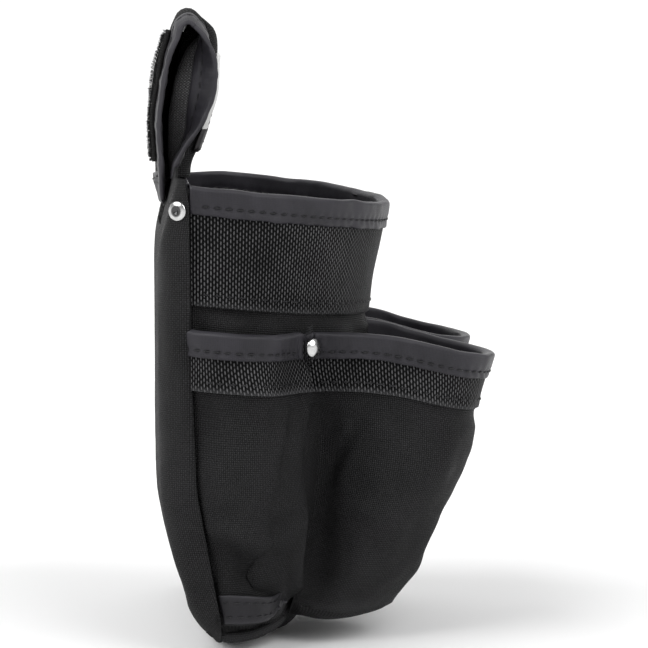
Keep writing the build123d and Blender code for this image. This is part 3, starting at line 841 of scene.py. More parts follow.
def make_lower(side_name):
    right = side_name == "right"
    columns = STRIP.columns
    rim_z = STRIP.line(1.5, 0.0)[0][:, 2:]
    z = rim_z + (panel_foot(columns)[:, None] - rim_z) * np.linspace(0, 1, 92)[None]
    column = np.repeat(columns[:, None], z.shape[1], 1)
    grid, out = STRIP.at(column, z, np.full(z.shape, PANEL_IN + FABRIC))
    grid = clear_of_body(grid + out * panel_folds(grid, column)[..., None])
    # Paler along the upright roll beside the valley, low down, and along the panel's foot.
    made_paler = 0.35 * bump(column, SIDE_COLUMNS - 9, 5) * rise((-160 - z) / 30) + 0.5 * rise((-222 - z) / 8)
    slab(f"lower_cloth_{side_name}", grid, FABRIC, CLOTH, mirror=right, wear_and_shade=made_paler.clip(0, 1), slot="pack_cloth",
         nodes=[f"lower_panel_{side_name}"])

    drops = np.repeat(np.linspace(2.4, NARROW_WEBBING, 20)[None], len(columns), 0)
    face, out = STRIP.below_rim(columns, drops, np.full(drops.shape, WEBBING_IN + WEBBING))
    loose = rise(columns / 5.0)[:, None] * (1 - bump(columns, SIDE_COLUMNS, 6.0))[:, None]
    wave = (0.3 * ripple(face, 26.0, 31) + 0.9 * bump(drops, NARROW_WEBBING, 5) * ripple(face, 15.0, 32)) * loose
    gather = -0.8 * bump(columns, SIDE_COLUMNS, 2.0)[:, None] * rise((drops - 8) / 8)
    face = face + out * (wave + gather)[..., None]
    slab(f"lower_band_{side_name}", face, WEBBING - 0.1, WEB, mirror=right, slot="webbing",
         wear_and_shade=0.8 * bump(drops, NARROW_WEBBING, 1.2), nodes=[f"lower_webbing_{side_name}"])

    def place(cols, offset, drop):
        tight = 1 - 0.30 * bump(cols, SIDE_COLUMNS - 1, 4.0)[:, None]
        crumple = 0.55 * np.sin(cols * 1.35)[:, None] * bump(cols, SIDE_COLUMNS - 1, 9.0)[:, None]
        offset = np.where(offset > 2, offset * tight + crumple, offset)
        slump = 1.0 * bump(cols, SIDE_COLUMNS - 1, 3.0)[:, None] * (drop < 4)
        return STRIP.below_rim(cols, drop + slump, offset)[0]

    folded_tape(f"lower_rim_tape_{side_name}", place, columns,
                fold_profile(GAP, TAPE_IN + TAPE, 1.15, LOWER_BINDING), 41 + right, LOWER_STITCH,
                mirror=right, nodes=[f"lower_binding_{side_name}"])

    rows = Thread()
    side_part, front_part = slice(4, SIDE_COLUMNS - 5), slice(SIDE_COLUMNS + 4, -3)
    for drop, offset, pitch in ((LOWER_STITCH, TAPE_IN + TAPE - 0.25, 5.0),
                                (NARROW_WEBBING - 4.2, WEBBING_IN + WEBBING + 0.05, STITCH_PITCH)):
        line, out = STRIP.line(drop, offset)
        rows.row(line[side_part], out[side_part], pitch)
        rows.row(line[front_part], out[front_part], pitch)
    line, out = STRIP.line(LOWER_STITCH, GAP + 0.2)
    rows.row(line[front_part], -out[front_part])
    # the upright seam under the rivet
    z = np.linspace(-131.5, -150, 40)
    column = np.full(z.shape, SIDE_COLUMNS - 3)
    line, out = STRIP.at(column, z, PANEL_IN + FABRIC)
    line = line + out * panel_folds(line, column)[:, None]
    rows.row(line, out, 3.6, 2.6, 0.3)
    # the short zigzag bar tack above and below the rivet
    for k in range(9):
        level, offset = (-100.0 - k, TAPE_IN + TAPE) if k < 4 else (-114.0 - 1.4 * (k - 4), WEBBING_IN + WEBBING)
        cols = np.arange(SIDE_COLUMNS - 4, SIDE_COLUMNS + 4)
        line, out = STRIP.at(cols, np.full(cols.shape, level), offset - 0.1)
        line[:, 2] += np.linspace(-0.5, 0.5, len(cols))
        rows.stitch(evenly(line, 6), np.repeat(out[3:4], 6, 0), 0.32)
    rows.finish(f"lower_stitches_{side_name}", mirror=right)

    make_side_tape(side_name, right)
    make_floor(side_name, right)


def make_side_tape(side_name, right):
    """Tape over the side pocket's lower edge, ragged where it ends at the valley."""
    columns = np.arange(3, SIDE_COLUMNS - 8)
    t = np.linspace(0, 1, 13)
    share = (columns - columns[0]) / (columns[-1] - columns[0])
    top = -216.6 - 4.6 * share ** 1.5 + 0.5 * np.sin(share * 9)
    foot = -229.4 + 6.2 * rise((share - 0.5) / 0.5) + 0.7 * np.sin(share * 37) * rise((share - 0.5) / 0.3)
    z = top[:, None] + (foot - top)[:, None] * t[None]
    column = np.repeat(columns[:, None], len(t), 1)
    grid, out = STRIP.at(column, z, np.full(z.shape, WEBBING_IN + TAPE))
    rough = 0.5 * ripple(grid, 9.0, 51) * (0.4 + 1.6 * rise((share - 0.5) / 0.5))[:, None]
    curl = 1.5 * rise((t - 0.8) / 0.2)[None] * rise((share - 0.55) / 0.3)[:, None]
    grid = grid + out * (rough + curl + 0.5)[..., None]
    made_paler = 0.5 * np.abs(2 * t - 1)[None] ** 6 * np.ones((len(columns), 1))
    slab(f"side_pocket_hem_{side_name}", grid, TAPE, HEM, mirror=right, wear_and_shade=made_paler, slot="binding_tape",
         nodes=[f"side_pocket_tape_{side_name}"])
    rows = Thread()
    for k, stop in ((3, len(columns) - 9), (9, len(columns) - 16)):
        rows.row(grid[:stop, k] + out[:stop, k] * 0.05, out[:stop, k], 4.6, 3.5, 0.32)
    rows.finish(f"hem_stitches_{side_name}", mirror=right)


def make_floor(side_name, right):
    """The front pocket's floor: a slack panel turned up under the panel's lower edge."""
    columns = STRIP.columns[SIDE_COLUMNS:]
    count = len(columns)
    edge, out = STRIP.at(columns, panel_foot(columns) - 0.1, np.full(count, PANEL_IN + FABRIC))
    edge = edge + out * panel_folds(edge, columns)[:, None]
    seam, half_width, depth = between(BODY_STATIONS, BODY_FLOOR)
    along = np.linspace(0, 1, count)[:, None]
    first, last = (math.atan2(-(end[1] - seam) / depth, -end[0] / half_width) for end in (edge[0], edge[-1]))
    turn = first + (last - first) * along[:, 0]
    near = np.stack([-(half_width + 0.8) * np.cos(turn), seam - (depth + 0.8) * np.sin(turn),
                     np.full(count, BODY_FLOOR - 1.6)], 1)
    t = np.linspace(0, 1, 26)[None]
    grid = near[:, None] * (1 - t[..., None]) + edge[:, None] * t[..., None]
    slack = np.sin(math.pi * t) ** 0.8 * (1 - (2 * along - 1) ** 4)
    roll = 1.4 * (1 - bump(t, 1.0, 0.06))
    grid[..., 2] -= 2.6 * slack + roll + 0.5 * ripple(grid, 18.0, 61) * slack
    slab(f"pocket_floor_cloth_{side_name}", grid, FABRIC, CLOTH, back=grid + [0, 0, FABRIC], mirror=right,
         slot="pack_cloth", nodes=[f"pocket_floor_{side_name}"])


# ------------------------------------------------------------------ the padded back panel
def puff(made, pinned, cap, pressure):
    """Swell a piece as stuffed cloth does: simulated under pressure, moving at most cap millimetres."""
    group = made.vertex_groups.new(name="held")
    for i, share in enumerate(pinned):
        if share > 0:
            group.add([i], float(share), "REPLACE")
    before = np.array([v.co for v in made.data.vertices])
    cloth = made.modifiers.new("Cloth", "CLOTH")
    cloth.settings.quality = 6
    cloth.settings.use_pressure = True
    cloth.settings.uniform_pressure_force = pressure
    cloth.settings.vertex_group_mass = "held"
    cloth.settings.effector_weights.gravity = 0
    cloth.settings.tension_stiffness = 20
    cloth.settings.compression_stiffness = 20
    cloth.settings.bending_stiffness = 0.4
    for number in range(1, SIM_FRAMES + 1):
        bpy.context.scene.frame_set(number)
    settled = made.evaluated_get(bpy.context.evaluated_depsgraph_get())
    after = np.array([v.co for v in settled.to_mesh().vertices])
    settled.to_mesh_clear()
    made.modifiers.clear()
    made.vertex_groups.clear()
    bpy.context.scene.frame_set(1)
    move = after - before
    far = np.linalg.norm(move, axis=1, keepdims=True)
    limit = cap * MM * np.tanh(far / (cap * MM))
    move = move * np.where(far > 0, limit / np.maximum(far, 1e-9), 0)
    made.data.vertices.foreach_set("co", (before + move).ravel())
    made.data.update()


def shoulder_width(z, half_width):
    """The back panel's half width with its two top corners rounded."""
    into = np.clip(z - (BACK_TOP - SHOULDER), 0, SHOULDER)
    return half_width - SHOULDER + math.sqrt(max(SHOULDER**2 - into**2, 0.0))


def foot_lift(x, z):
    """How much the panel's lower corners turn up."""
    return 6.0 * rise((np.abs(x) - 42) / 46) * rise((-222 - z) / 21)


def make_back():
    """The back panel's cover: loops round its rolled sides, swollen by what it is stuffed with."""
    heights = np.r_[np.linspace(BASE_Z, -222, 7)[:-1], np.linspace(-222, -60, 46)[:-1],
                    BACK_TOP - SHOULDER * (1 - np.sin(np.linspace(-0.5, math.pi / 2, 12)))]
    heights = np.unique(np.round(heights, 3))
    loops = []
    for z in heights:
        rear, roll, half_width = between(PAD_STATIONS, z)
        seam = between(BODY_STATIONS, z)[0]
        width = shoulder_width(z, half_width)
        front, rear = seam + 0.4, rear - 0.6
        roll = min(roll, rear - front - 0.6)
        half = [(-width, y) for y in np.linspace(front, rear - roll, 4)]
        half += [(-width + roll - roll * math.cos(a), rear - roll + roll * math.sin(a))
                 for a in np.linspace(0, math.pi / 2, 7)[1:]]
        across = [(x, rear) for x in np.linspace(roll - width, width - roll, 46)[1:-1]]
        loops.append(half + across + [(-x, y) for x, y in half[::-1]])
    count = len(loops[0])
    grid = np.concatenate([np.array(loops), np.repeat(heights[:, None, None], count, 1)], 2)
    grid[..., 2] += foot_lift(grid[..., 0], grid[..., 2])
    climb = rise((grid[..., 2] + 50) / (BACK_TOP + 50))
    inside = 1 - rise((np.abs(grid[..., 0]) - 60) / 24)
    grid[..., 2] += climb * (1.0 + 5.5 * inside)
    grid[..., 1] -= (grid[..., 1] + 0.8) * climb ** 2 * (0.35 + 0.4 * inside)
    under = []
    for share in np.sin(np.linspace(0.04, 1, 7)[:-1] * math.pi / 2):
        row = grid[0].copy()
        row[:, 1] = row[0, 1] + (row[:, 1] - row[0, 1]) * share
        row[:, 2] += 1.8 * (1 - share) - 0.2
        under.append(row)
    grid = np.concatenate([under, grid])
    heights = np.r_[heights[0] - 1.5 * np.arange(6, 0, -1), heights]
    u = np.array([lengths(row) for row in grid[..., :2]])
    u = u - u[:, count // 2][:, None]
    uv = np.stack([u, np.repeat(heights[:, None], count, 1)], 2)
    held = np.zeros(grid.shape[:2])
    held[:, :1] = held[:, -1:] = 1.0
    held[0] = held[-1] = 1.0
    held[:, 1] = held[:, -2] = 0.5
    made = piece("back_pad_cover", grid.reshape(-1, 3), quads(*grid.shape[:2]), uv.reshape(-1, 2), CLOTH, body=None)
    puff(made, held.ravel(), PAD_SWELL, PAD_PRESSURE)
    grid = np.array([v.co for v in made.data.vertices]).reshape(grid.shape) / MM
    normal = -grid_normals(grid)
    from_edge = np.minimum(np.arange(count), np.arange(count)[::-1])[None]
    wave = 0.55 * ripple(grid, 46.0, 71) + 0.22 * ripple(grid, 15.0, 72)
    wave = wave + 0.7 * ripple(grid * [1, 1, 2.0], 22.0, 73) * rise((-190 - grid[..., 2]) / 25)
    on_flat = rise((np.abs(grid[..., 0]) - 60) / 20) * 0.7 + 0.3
    grid = grid + normal * (wave * rise(from_edge / 5.0) * on_flat)[..., None]
    made.data.vertices.foreach_set("co", (grid * MM).ravel())
    made.data.update()
    smooth = made.modifiers.new("Smooth", "SUBSURF")
    smooth.levels = smooth.render_levels = 1
    thick = made.modifiers.new("Thick", "SOLIDIFY")
    thick.thickness = (FABRIC - 0.15) * MM
    thick.offset = 1
    bake(made)
    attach(made, "pouch")
    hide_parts("back_cover")


def bake(made):
    """Apply every modifier."""
    done = bpy.data.meshes.new_from_object(made.evaluated_get(bpy.context.evaluated_depsgraph_get()))
    made.modifiers.clear()
    made.data = done


def make_filling():
    """The foam and the stiffening board inside the back panel, cut to follow its turned-up corners."""
    for node, name, material, slot in (("back_foam", "back_foam_sheet", FOAM, "foam"),
                                       ("stiffener_board", "back_board_sheet", BOARD, "board")):
        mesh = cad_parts[node].data
        points = np.array([v.co for v in mesh.vertices]) / MM
        points[:, 0] *= FILLING_SCALE  # clear of the cover's softly padded sides
        points[:, 2] += 1.15 * foot_lift(points[:, 0], points[:, 2])
        points[:, 2] += 0.9 * rise((-232 - points[:, 2]) / 10)
        piece(name, points, [list(f.vertices) for f in mesh.polygons], points[:, [0, 2]], material, slot=slot,
              nodes=[node], smooth=False)


def make_back_lining():
    """The pocket's rear wall, a little proud of its board between the seams."""
    x = np.linspace(-1, 1, 100)
    z = np.linspace(BACK_TOP - 0.6, -228, 96)
    width = [shoulder_width(level + 0.4, 95.0) for level in z]
    grid = np.stack([np.outer(x, width), np.tile(between(BODY_STATIONS, z)[0] + 0.4, (len(x), 1)),
                     np.tile(z, (len(x), 1))], 2)
    swell = (1 - np.abs(x[:, None]) ** 4) * rise((BACK_TOP - 16 - z[None]) / 30) * rise((z[None] + 228) / 25)
    grid[..., 1] -= swell * (0.8 + 0.7 * ripple(grid, 40.0, 81))
    slab("back_lining_cloth", grid, FABRIC - 0.1, LINING, slot="pack_cloth", nodes=["back_lining"])

    columns = np.linspace(-84.0, 84.0, 150)

    def place(cols, offset, drop):
        cols = np.repeat(cols[:, None], drop.shape[1], 1)
        return np.stack([cols, SEAM_Y + 0.5 - offset, BACK_TOP - 0.4 - drop], -1)

    folded_tape("back_rim_tape", place, columns, fold_profile(-1.3, 1.15, 0.75, 13.0, inner_foot=1.6, thick=0.8),
                91, BACK_STITCH, nodes=["back_rim_binding"])
    rows = Thread()
    one = np.ones((len(columns), 1))
    rows.row(place(columns, one, BACK_STITCH * one)[:, 0], one * [0, -1.0, 0], radius=0.33)
    rows.finish("back_rim_stitches")


def make_base():
    """The cloth cup under the main pocket, with a rolled lip where it meets the back panel."""
    turns = np.linspace(-0.10, math.pi + 0.10, 156)
    levels = np.r_[-229.1, -231, -233.5, -236, -238.5, -240.6, -242.2, -243.2]
    rings = []
    for z in levels:
        seam, half_width, depth = between(BASE_STATIONS, z)
        rings.append(np.stack([-half_width * np.cos(turns), seam - depth * np.sin(turns),
                               np.full(len(turns), z)], 1))
    seam, half_width, depth = between(BASE_STATIONS, BASE_Z)
    for share in np.linspace(0.95, 0.02, 14):
        rings.append(np.stack([-half_width * share * np.cos(turns), seam - 0.4 - depth * share * np.sin(turns),
                               np.full(len(turns), BASE_Z + 0.6 * (1 - share) ** 2)], 1))
    grid = np.array(rings).transpose(1, 0, 2)[:, ::-1]
    grid[..., 2] += foot_lift(grid[..., 0], grid[..., 2])
    out = -grid_normals(grid)
    slack = rise((grid[..., 2] + 243.6) / 4) * rise((-229.5 - grid[..., 2]) / 4)
    wave = 1.1 * ripple(grid, 19.0, 95) * slack + 1.3 * slack * np.abs(np.sin(turns * 7.0))[:, None]
    grid = grid + out * wave[..., None]
    slab("base_cloth", grid, FABRIC, CLOTH, back=grid - out * FABRIC, slot="pack_cloth", nodes=["base_panel"])

    # the hem rolled under the back panel's foot and round to the pocket's base
    path = [(-88.5, -12.5, -235.0), (-86.5, -17.5, -239.2), (-82.5, -25.0, -240.8), (-76.5, -33.5, -240.2),
            (-69.0, -41.0, -237.6), (-61.0, -47.5, -234.2)]
    line = smooth_line(path, 60)
    line[:, 2] += foot_lift(line[:, 0], line[:, 2]) * 0.6
    share = lengths(line) / lengths(line)[-1]
    along = np.gradient(line, axis=0)
    along /= np.linalg.norm(along, axis=1, keepdims=True)
    outer = np.cross(along, [0, 0, 1.0])
    outer /= np.linalg.norm(outer, axis=1, keepdims=True)
    outer = outer * np.sign((outer * (line * [1, 1, 0])).sum(1))[:, None]
    up = np.cross(outer, along)
    up = up * np.sign(up[:, 2])[:, None]
    angle = np.linspace(-2.3, 2.6, 15)

    def rolled(radius):
        return (line[:, None] + outer[:, None] * (radius * np.cos(angle))[..., None] * 0.9
                + up[:, None] * (radius * np.sin(angle))[..., None] * 1.15)

    for side_name, seed in (("left", 98), ("right", 96)):
        radius = 2.4 * (0.35 + 0.65 * np.sin(math.pi * np.clip(share, 0.02, 0.98)) ** 0.5)
        radius = (radius * (1 + 0.16 * ripple(line, 7.0, seed)))[:, None]
        slab(f"base_rolled_hem_{side_name}", rolled(radius), FABRIC, CLOTH, back=rolled(radius - 1.0),
             mirror=side_name == "right", slot="pack_cloth",
             wear_and_shade=0.5 * bump(angle, 0.2, 0.8)[None] * np.ones((len(line), 1)))


# ------------------------------------------------------------------ rivets
def rivet_cap(name, origin, axis, profile, node, dimple_shade):
    """A pair of caps: a profile of (radius, height) turned round an axis, and its mirror image."""
    count = 48
    angle = np.linspace(0, 2 * math.pi, count, endpoint=False)
    up, radius, height = np.array([0, 0, 1.0]), profile[:, :1], profile[:, 1:]
    side = np.cross(up, axis)
    points = ((radius * np.cos(angle))[..., None] * side + (radius * np.sin(angle))[..., None] * up
              + (height + 0 * angle)[..., None] * axis + origin)
    verts, faces = points.reshape(-1, 3), quads(*points.shape[:2], close_v=True)
    faces += [list(range(count))[::-1], [len(verts) - count + k for k in range(count)]]
    uv = np.concatenate([verts[:, 1:]] * 2)
    faces += [[k + len(verts) for k in f][::-1] for f in faces]
    verts = np.concatenate([verts, verts * [-1, 1, 1]])
    # Painted shade over the cap's middle, fading out from 2.1 to 2.8 mm from its axis; none on a cap without a
    # dimple.
    dimple_painted_shade = np.tile(np.repeat(dimple_shade * (1 - rise((radius - 2.1) / 0.7)), count), 2)
    fix_normals(piece(name, verts, faces, uv, NICKEL, slot="nickel", nodes=[node], wear_and_shade=dimple_painted_shade))


def make_rivets():
    def rolled(centre, dish):
        """A cap's section, from under its rim, round the rolled edge, over its face to the middle."""
        r = CAP_RADIUS
        rim = [(r - 0.7, 0.0), (r - 0.25, 0.02), (r, 0.28), (r - 0.02, 0.62), (r - 0.3, 0.95)]
        face = [(x, centre - (centre - 0.95) * (x / (r - 0.3)) ** 2.2 - dish * math.exp(-((x / 1.1) ** 2)))
                for x in np.linspace(r - 0.55, 0.12, 14)]
        return np.array(rim + face)

    lean = math.radians(39.0)
    out = np.array([-math.cos(lean), -math.sin(lean), 0])
    reach = 4 * GAP + 2 * TAPE + FABRIC + WEBBING + 1.4
    foot = np.array([on_body(RIVET_Y, RIVET_Z), RIVET_Y, RIVET_Z]) + out * reach
    rivet_cap("pocket_rivet_domes", foot, out, rolled(CAP_HEIGHT, 0.0), "pocket_rivet_caps", 0.0)
    turn = math.radians(33.0)
    out = np.array([-math.cos(turn), math.sin(turn), 0])
    rear, roll, _ = between(PAD_STATIONS, CORNER_RIVET_Z)
    foot = np.array([roll - BACK_HALF_WIDTH, rear - roll, CORNER_RIVET_Z]) + out * (roll + 0.25)
    # This cap's dimpled middle gets painted shade.
    rivet_cap("corner_rivet_domes", foot, out, rolled(CAP_HEIGHT - 0.5, 0.9), "corner_rivet_caps", 0.95)


# ------------------------------------------------------------------ the belt flap
FLAP_FRONT = [(-4.6, -35.6), (-6.6, -20), (-10.8, 0), (-14.6, 17), (-15.4, 27), (-12.2, 35.4), (-6.6, 38.8)]
FLAP_TAIL = [(-5.5, 38.7), (-2.0, 36.0), (0.4, 29), (3.5, 17), (5.7, 2), (6.6, -12), (6.2, -28), (5.7, -38),
             (5.5, -45)]
HINGE_CUT, HINGE_LOW = -11.0, 30.0  # the tail starts at the first row behind this Y and above this height
# The front limb's side edges turn outward like lapels. Per height: Y of the middle, of the edge,
# of the binding's inner border, of the cloth beside it and how deep the fold behind that is
LAPEL = {-35.6: (-4.4, 1.6, 1.8, 2.6, 0.2), -31.0: (-5.0, 1.2, 1.4, 2.6, 0.3),
         -26.0: (-6.6, -0.9, -0.6, 2.4, 0.6), -20.0: (-9.4, -4.6, -3.0, 2.2, 0.9),
         -13.0: (-12.2, -10.0, -4.9, 1.9, 0.9), -6.0: (-14.2, -13.2, -5.4, 1.5, 0.9),
         1.0: (-15.8, -16.0, -5.9, 0.9, 0.9), 8.0: (-16.8, -17.1, -6.6, 0.0, 0.9),
         15.0: (-17.3, -17.4, -8.0, -2.2, 0.9), 21.0: (-17.5, -17.2, -10.0, -5.0, 0.7),
         27.0: (-17.2, -16.2, -12.4, -9.6, 0.4), 33.0: (-14.6, -13.4, -12.8, -12.4, 0.0),
         38.8: (-6.6, -6.6, -6.6, -6.6, 0.0)}
# How much further the right side turns in, by height
TURNED_IN = {8: 0, 15: 1.8, 21: 4.0, 27: 6.2, 32: 7.2, 35: 4.6, 38: 0}
FLAP_COLUMNS, BOUND_COLUMNS, FLAP_EDGE = 44, 10, 50.4
FLAP_STACK = 2 * FABRIC + 2 * GAP
FLAP_THREAD = (STITCH_PITCH, 3.8, 0.36)
STRIP_HALF_WIDTH, HOOK_HALF_WIDTH, STRIP_PILE, TAPE_BASE = 36, 32, 1.9, 0.7


def lapel_section(z, y_mid, edge, bound, cloth, deep):
    """Half a row across the front limb, from its middle to its edge, the last columns under the binding."""
    bound_x = FLAP_EDGE - math.sqrt(max(FLAP_BINDING**2 - (edge - bound) ** 2, 30.0))
    cloth_x = bound_x - 5.0 + 0.25 * min(bound_x - 38.0, 6.0)
    turn_x = cloth_x - 3.6
    reach = max(abs(cloth + deep - y_mid), 1.0)
    middle_x = max(turn_x - 4.0 - 0.45 * reach, 18.0)
    knots = [(0, y_mid), (middle_x * 0.6, y_mid + 0.02 * reach), (middle_x, y_mid + 0.06 * reach),
             (0.5 * (middle_x + turn_x) + 0.8, y_mid + 0.5 * reach), (turn_x - 1.5, y_mid + 0.93 * reach),
             (turn_x, cloth + deep), (cloth_x, cloth), (bound_x, bound)]
    inner = smooth_line(knots, FLAP_COLUMNS - BOUND_COLUMNS)
    t = np.linspace(0, 1, BOUND_COLUMNS + 1)[1:, None]
    leg = np.array([[bound_x, bound]]) * (1 - t) + np.array([[FLAP_EDGE, edge]]) * t
    leg = leg + np.array([[0.0, -1.0]]) * np.sin(math.pi * t) * 0.9 * min(abs(edge - bound) / 8.0, 1.0)
    row = np.concatenate([inner, leg])
    return np.concatenate([row, np.full((len(row), 1), z)], 1)


def flap_sheet():
    """The flap's inner face: rows along it from its foot over the fold to its end, columns across."""
    front, tail = smooth_line(FLAP_FRONT, 70), smooth_line(FLAP_TAIL, 62)
    path = np.concatenate([front, tail[1:]])
    fold = len(front) - 1
    heights = sorted(LAPEL)
    shape = cubic(heights, [LAPEL[h] for h in heights], np.clip(front[:, 1], heights[0], heights[-1]))
    x = np.r_[np.linspace(0, FLAP_EDGE - FLAP_BINDING, FLAP_COLUMNS - BOUND_COLUMNS),
              np.linspace(FLAP_EDGE - FLAP_BINDING, FLAP_EDGE, BOUND_COLUMNS + 1)[1:]]
    sheet = np.array([np.stack([x, np.full(FLAP_COLUMNS, y), np.full(FLAP_COLUMNS, z)], 1) for y, z in path])
    turned_in = sheet.copy()
    for i, (z, (y_mid, edge, bound, cloth, deep)) in enumerate(zip(front[:, 1], shape)):
        more = float(np.interp(z, list(TURNED_IN), list(TURNED_IN.values())))
        sheet[i] = lapel_section(z, y_mid, edge, bound, cloth, deep)
        turned_in[i] = lapel_section(z, y_mid, edge, bound + 0.6 * more, cloth + more, deep)
    row = np.arange(len(path))
    near = bump(row, fold - 3, 15.0)[:, None]
    droop = 4.6 * near * (sheet[..., 0] / 50) ** 3.2
    inward = np.array([0, -5.8, 24.0]) - sheet
    inward[..., 0] = 0
    inward /= np.maximum(np.linalg.norm(inward, axis=2, keepdims=True), 1e-6)
    middle = slice(fold - 9, fold + 8)
    for half in (sheet, turned_in):
        half += inward * droop[..., None]
        for _ in range(4):
            ease = half.copy()
            ease[1:-1] = (half[:-2] + 2 * half[1:-1] + half[2:]) / 4
            half[middle] = ease[middle]
    full = np.concatenate([sheet[:, :0:-1] * [-1, 1, 1], turned_in], 1)
    x, z = full[fold + 1:, :, 0], full[fold + 1:, :, 2]
    hollow = 4.6 * rise((38.0 - z) / 8) * rise((z + 42) / 12) * np.clip(1 - (x / 35) ** 2, 0, 1) ** 1.5
    full[fold + 1:, :, 1] -= hollow
    crest = 1.3 * bump(row, fold, 4.0) - 0.7 * bump(row, fold - 5, 2.5)
    full[..., 2] += crest[:, None] * (1 - (full[..., 0] / FLAP_EDGE) ** 2)
    settle = (rise(row / 10.0) * rise((len(path) - 1 - row) / 8))[:, None]
    full[..., 1] += 0.6 * ripple(full, 26.0, 111) * settle * (1 - near)
    return full, fold


def edge_thinning(count):
    """How much of the cloth's thickness is left in each column: its bound edges are pressed thin."""
    from_edge = np.minimum(np.arange(count), np.arange(count)[::-1])
    return 0.42 + 0.16 * rise(from_edge / (BOUND_COLUMNS - 1.0)) + 0.42 * rise((from_edge - BOUND_COLUMNS) / 7.0)


def make_flap():
    sheet, fold = flap_sheet()
    out = grid_normals(sheet)
    column = sheet[:, FLAP_COLUMNS - 1]
    cut = int(np.argmax((column[:, 1] > HINGE_CUT) & (column[:, 2] > HINGE_LOW)))
    uv = cloth_uv(sheet)
    thin = edge_thinning(sheet.shape[1])[None, :, None]
    # The front limb's lining takes the lit copy of the cloth: painted light.
    for name, part, end, inside in (("front", slice(0, cut + 1), None, CLOTH_BIAS_PAINTED_LIGHT),
                                    ("tail", slice(cut, None), -1, LINING)):
        body = "pouch" if name == "front" else None
        face, normal = sheet[part], out[part]
        press = thin * np.ones((len(face), 1, 1))
        if name == "tail":
            press = press * (0.5 + 0.5 * rise(np.arange(len(face))[::-1] / 6.0))[:, None, None]
        for layer, near, far, material in (("lining", 0.0, FABRIC, inside),
                                           ("cover", FABRIC + GAP, 2 * FABRIC + GAP, CLOTH)):
            near_face, far_face = ((face + normal * away * press)[:end] for away in (near, far))
            made = slab(f"flap_{name}_{layer}_cloth", far_face, None, material, back=near_face, uv=uv[part][:end],
                        body=body, slot="pack_cloth", nodes=[f"flap_{name}_{layer}"])
            if name == "tail":
                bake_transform(made)
        make_flap_binding(name, face, normal)
    make_flap_trim(sheet, out, fold)


def wrapped(outer, inner, tip, share, extra):
    """One leg of a folded tape, its rounded fold past the edge, and the other leg."""
    a, b = outer[:, -1], inner[:, 0]
    size = np.linalg.norm(b - a, axis=1, keepdims=True) / 2
    fold = [(a + b) / 2 - (b - a) / 2 * math.cos(t) + tip * (size * share + extra) * math.sin(t)
            for t in np.linspace(0, math.pi, 9)[1:-1]]
    return np.concatenate([outer, np.stack(fold, 1), inner], 1)


class Wrap:
    """Collects lengths of folded tape into one piece."""

    def __init__(self):
        self.verts, self.faces, self.uvs, self.wear_and_shade = [], [], [], []

    def add(self, run, outside, inside, rub):
        """Rows of a tape's outer and inner face; rub gives its scuffing from the distance across it."""
        ring = np.concatenate([outside, inside[:, ::-1]], 1)
        self.faces += tube(ring, len(self.verts))
        self.verts += list(ring.reshape(-1, 3))
        across = lengths(outside[len(run) // 2])
        across = np.r_[across, across[::-1]]
        self.uvs += list(np.stack(np.meshgrid(run, across, indexing="ij"), 2).reshape(-1, 2))
        self.wear_and_shade += list(rub(across).clip(0, 1).ravel())


def make_flap_binding(name, face, normal):
    """Tape folded over the flap's edges, built from the sheet's own outermost columns."""
    count, last = len(face), face.shape[1] - 1
    tape, thread = Wrap(), Thread()
    run = lengths(face[:, 0])
    for side in (0, 1):
        cols = list(range(BOUND_COLUMNS, -1, -1) if side == 0 else range(last - BOUND_COLUMNS, last + 1))
        dist = np.r_[0, np.cumsum(np.linalg.norm(np.diff(face[:, cols], axis=1), axis=2).mean(0))]
        at = np.linspace(0, dist[-1], 12)

        def sample(values):
            return np.stack([np.stack([np.interp(at, dist, row[cols, k]) for k in range(3)], 1) for row in values])

        def uneven(row, size, seed):
            return ripple(np.stack([run, np.full(count, row * side)], 1), size, seed + side)[:, None]

        base, nrm = sample(face), sample(normal)
        nrm /= np.linalg.norm(nrm, axis=2, keepdims=True)
        tip = base[:, -1] - base[:, -2]
        tip /= np.linalg.norm(tip, axis=1, keepdims=True)
        share = at / dist[-1]
        squeeze = np.interp(at, dist, edge_thinning(last + 1)[cols])[None]
        ruffle = uneven(5.0, 15.0, 120)
        pucker = np.sin(run * 2 * math.pi / STITCH_PITCH)[:, None] * bump(share, 0.5, 0.2)[None]
        swell = (0.45 * rise(share / 0.25) * (1 - rise((share - 0.8) / 0.2)))[None] * (0.4 + ruffle)
        swell = swell - 0.4 * bump(share, 0.38, 0.10)[None] + 0.25 * uneven(9.0, 5.5, 130) + 0.18 * pucker

        def leg(offset, sign):
            return base + nrm * (offset * np.maximum(squeeze, 0.55 if sign < 0 else 0) + sign * swell)[..., None]

        outer, inner = leg(FLAP_STACK + TAPE, 1), leg(-GAP - TAPE, -1)
        tape.add(run, wrapped(outer, inner[:, ::-1], tip, 0.9, 0.3),
                 wrapped(leg(FLAP_STACK, 1), leg(-GAP, -1)[:, ::-1], tip, 0.9, -0.3),
                 lambda v: (0.7 + 0.3 * ruffle) * (0.8 * bump(v, v.max() / 2, 2.0) + 0.4 * bump(v, 0, 1.0)
                                                   + 0.4 * bump(v, v.max(), 1.0))[None])
        keep = slice(4, count - 2) if name == "front" else slice(1, count - 6)
        for line, way in ((outer, 1), (inner, -1)):
            thread.row(line[keep, 4], way * nrm[keep, 4], *FLAP_THREAD)
    if name == "tail":
        add_end_binding(tape, thread, face, normal)
    body = "pouch" if name == "front" else None
    made = piece(f"flap_{name}_tape", tape.verts, tape.faces, tape.uvs, BINDING, body=body, slot="binding_tape",
                 wear_and_shade=tape.wear_and_shade, nodes=[f"flap_{name}_binding"])
    fix_normals(made)
    stitches = thread.finish(f"flap_{name}_stitches", body)
    if name == "tail":
        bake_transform(made)
        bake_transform(stitches)


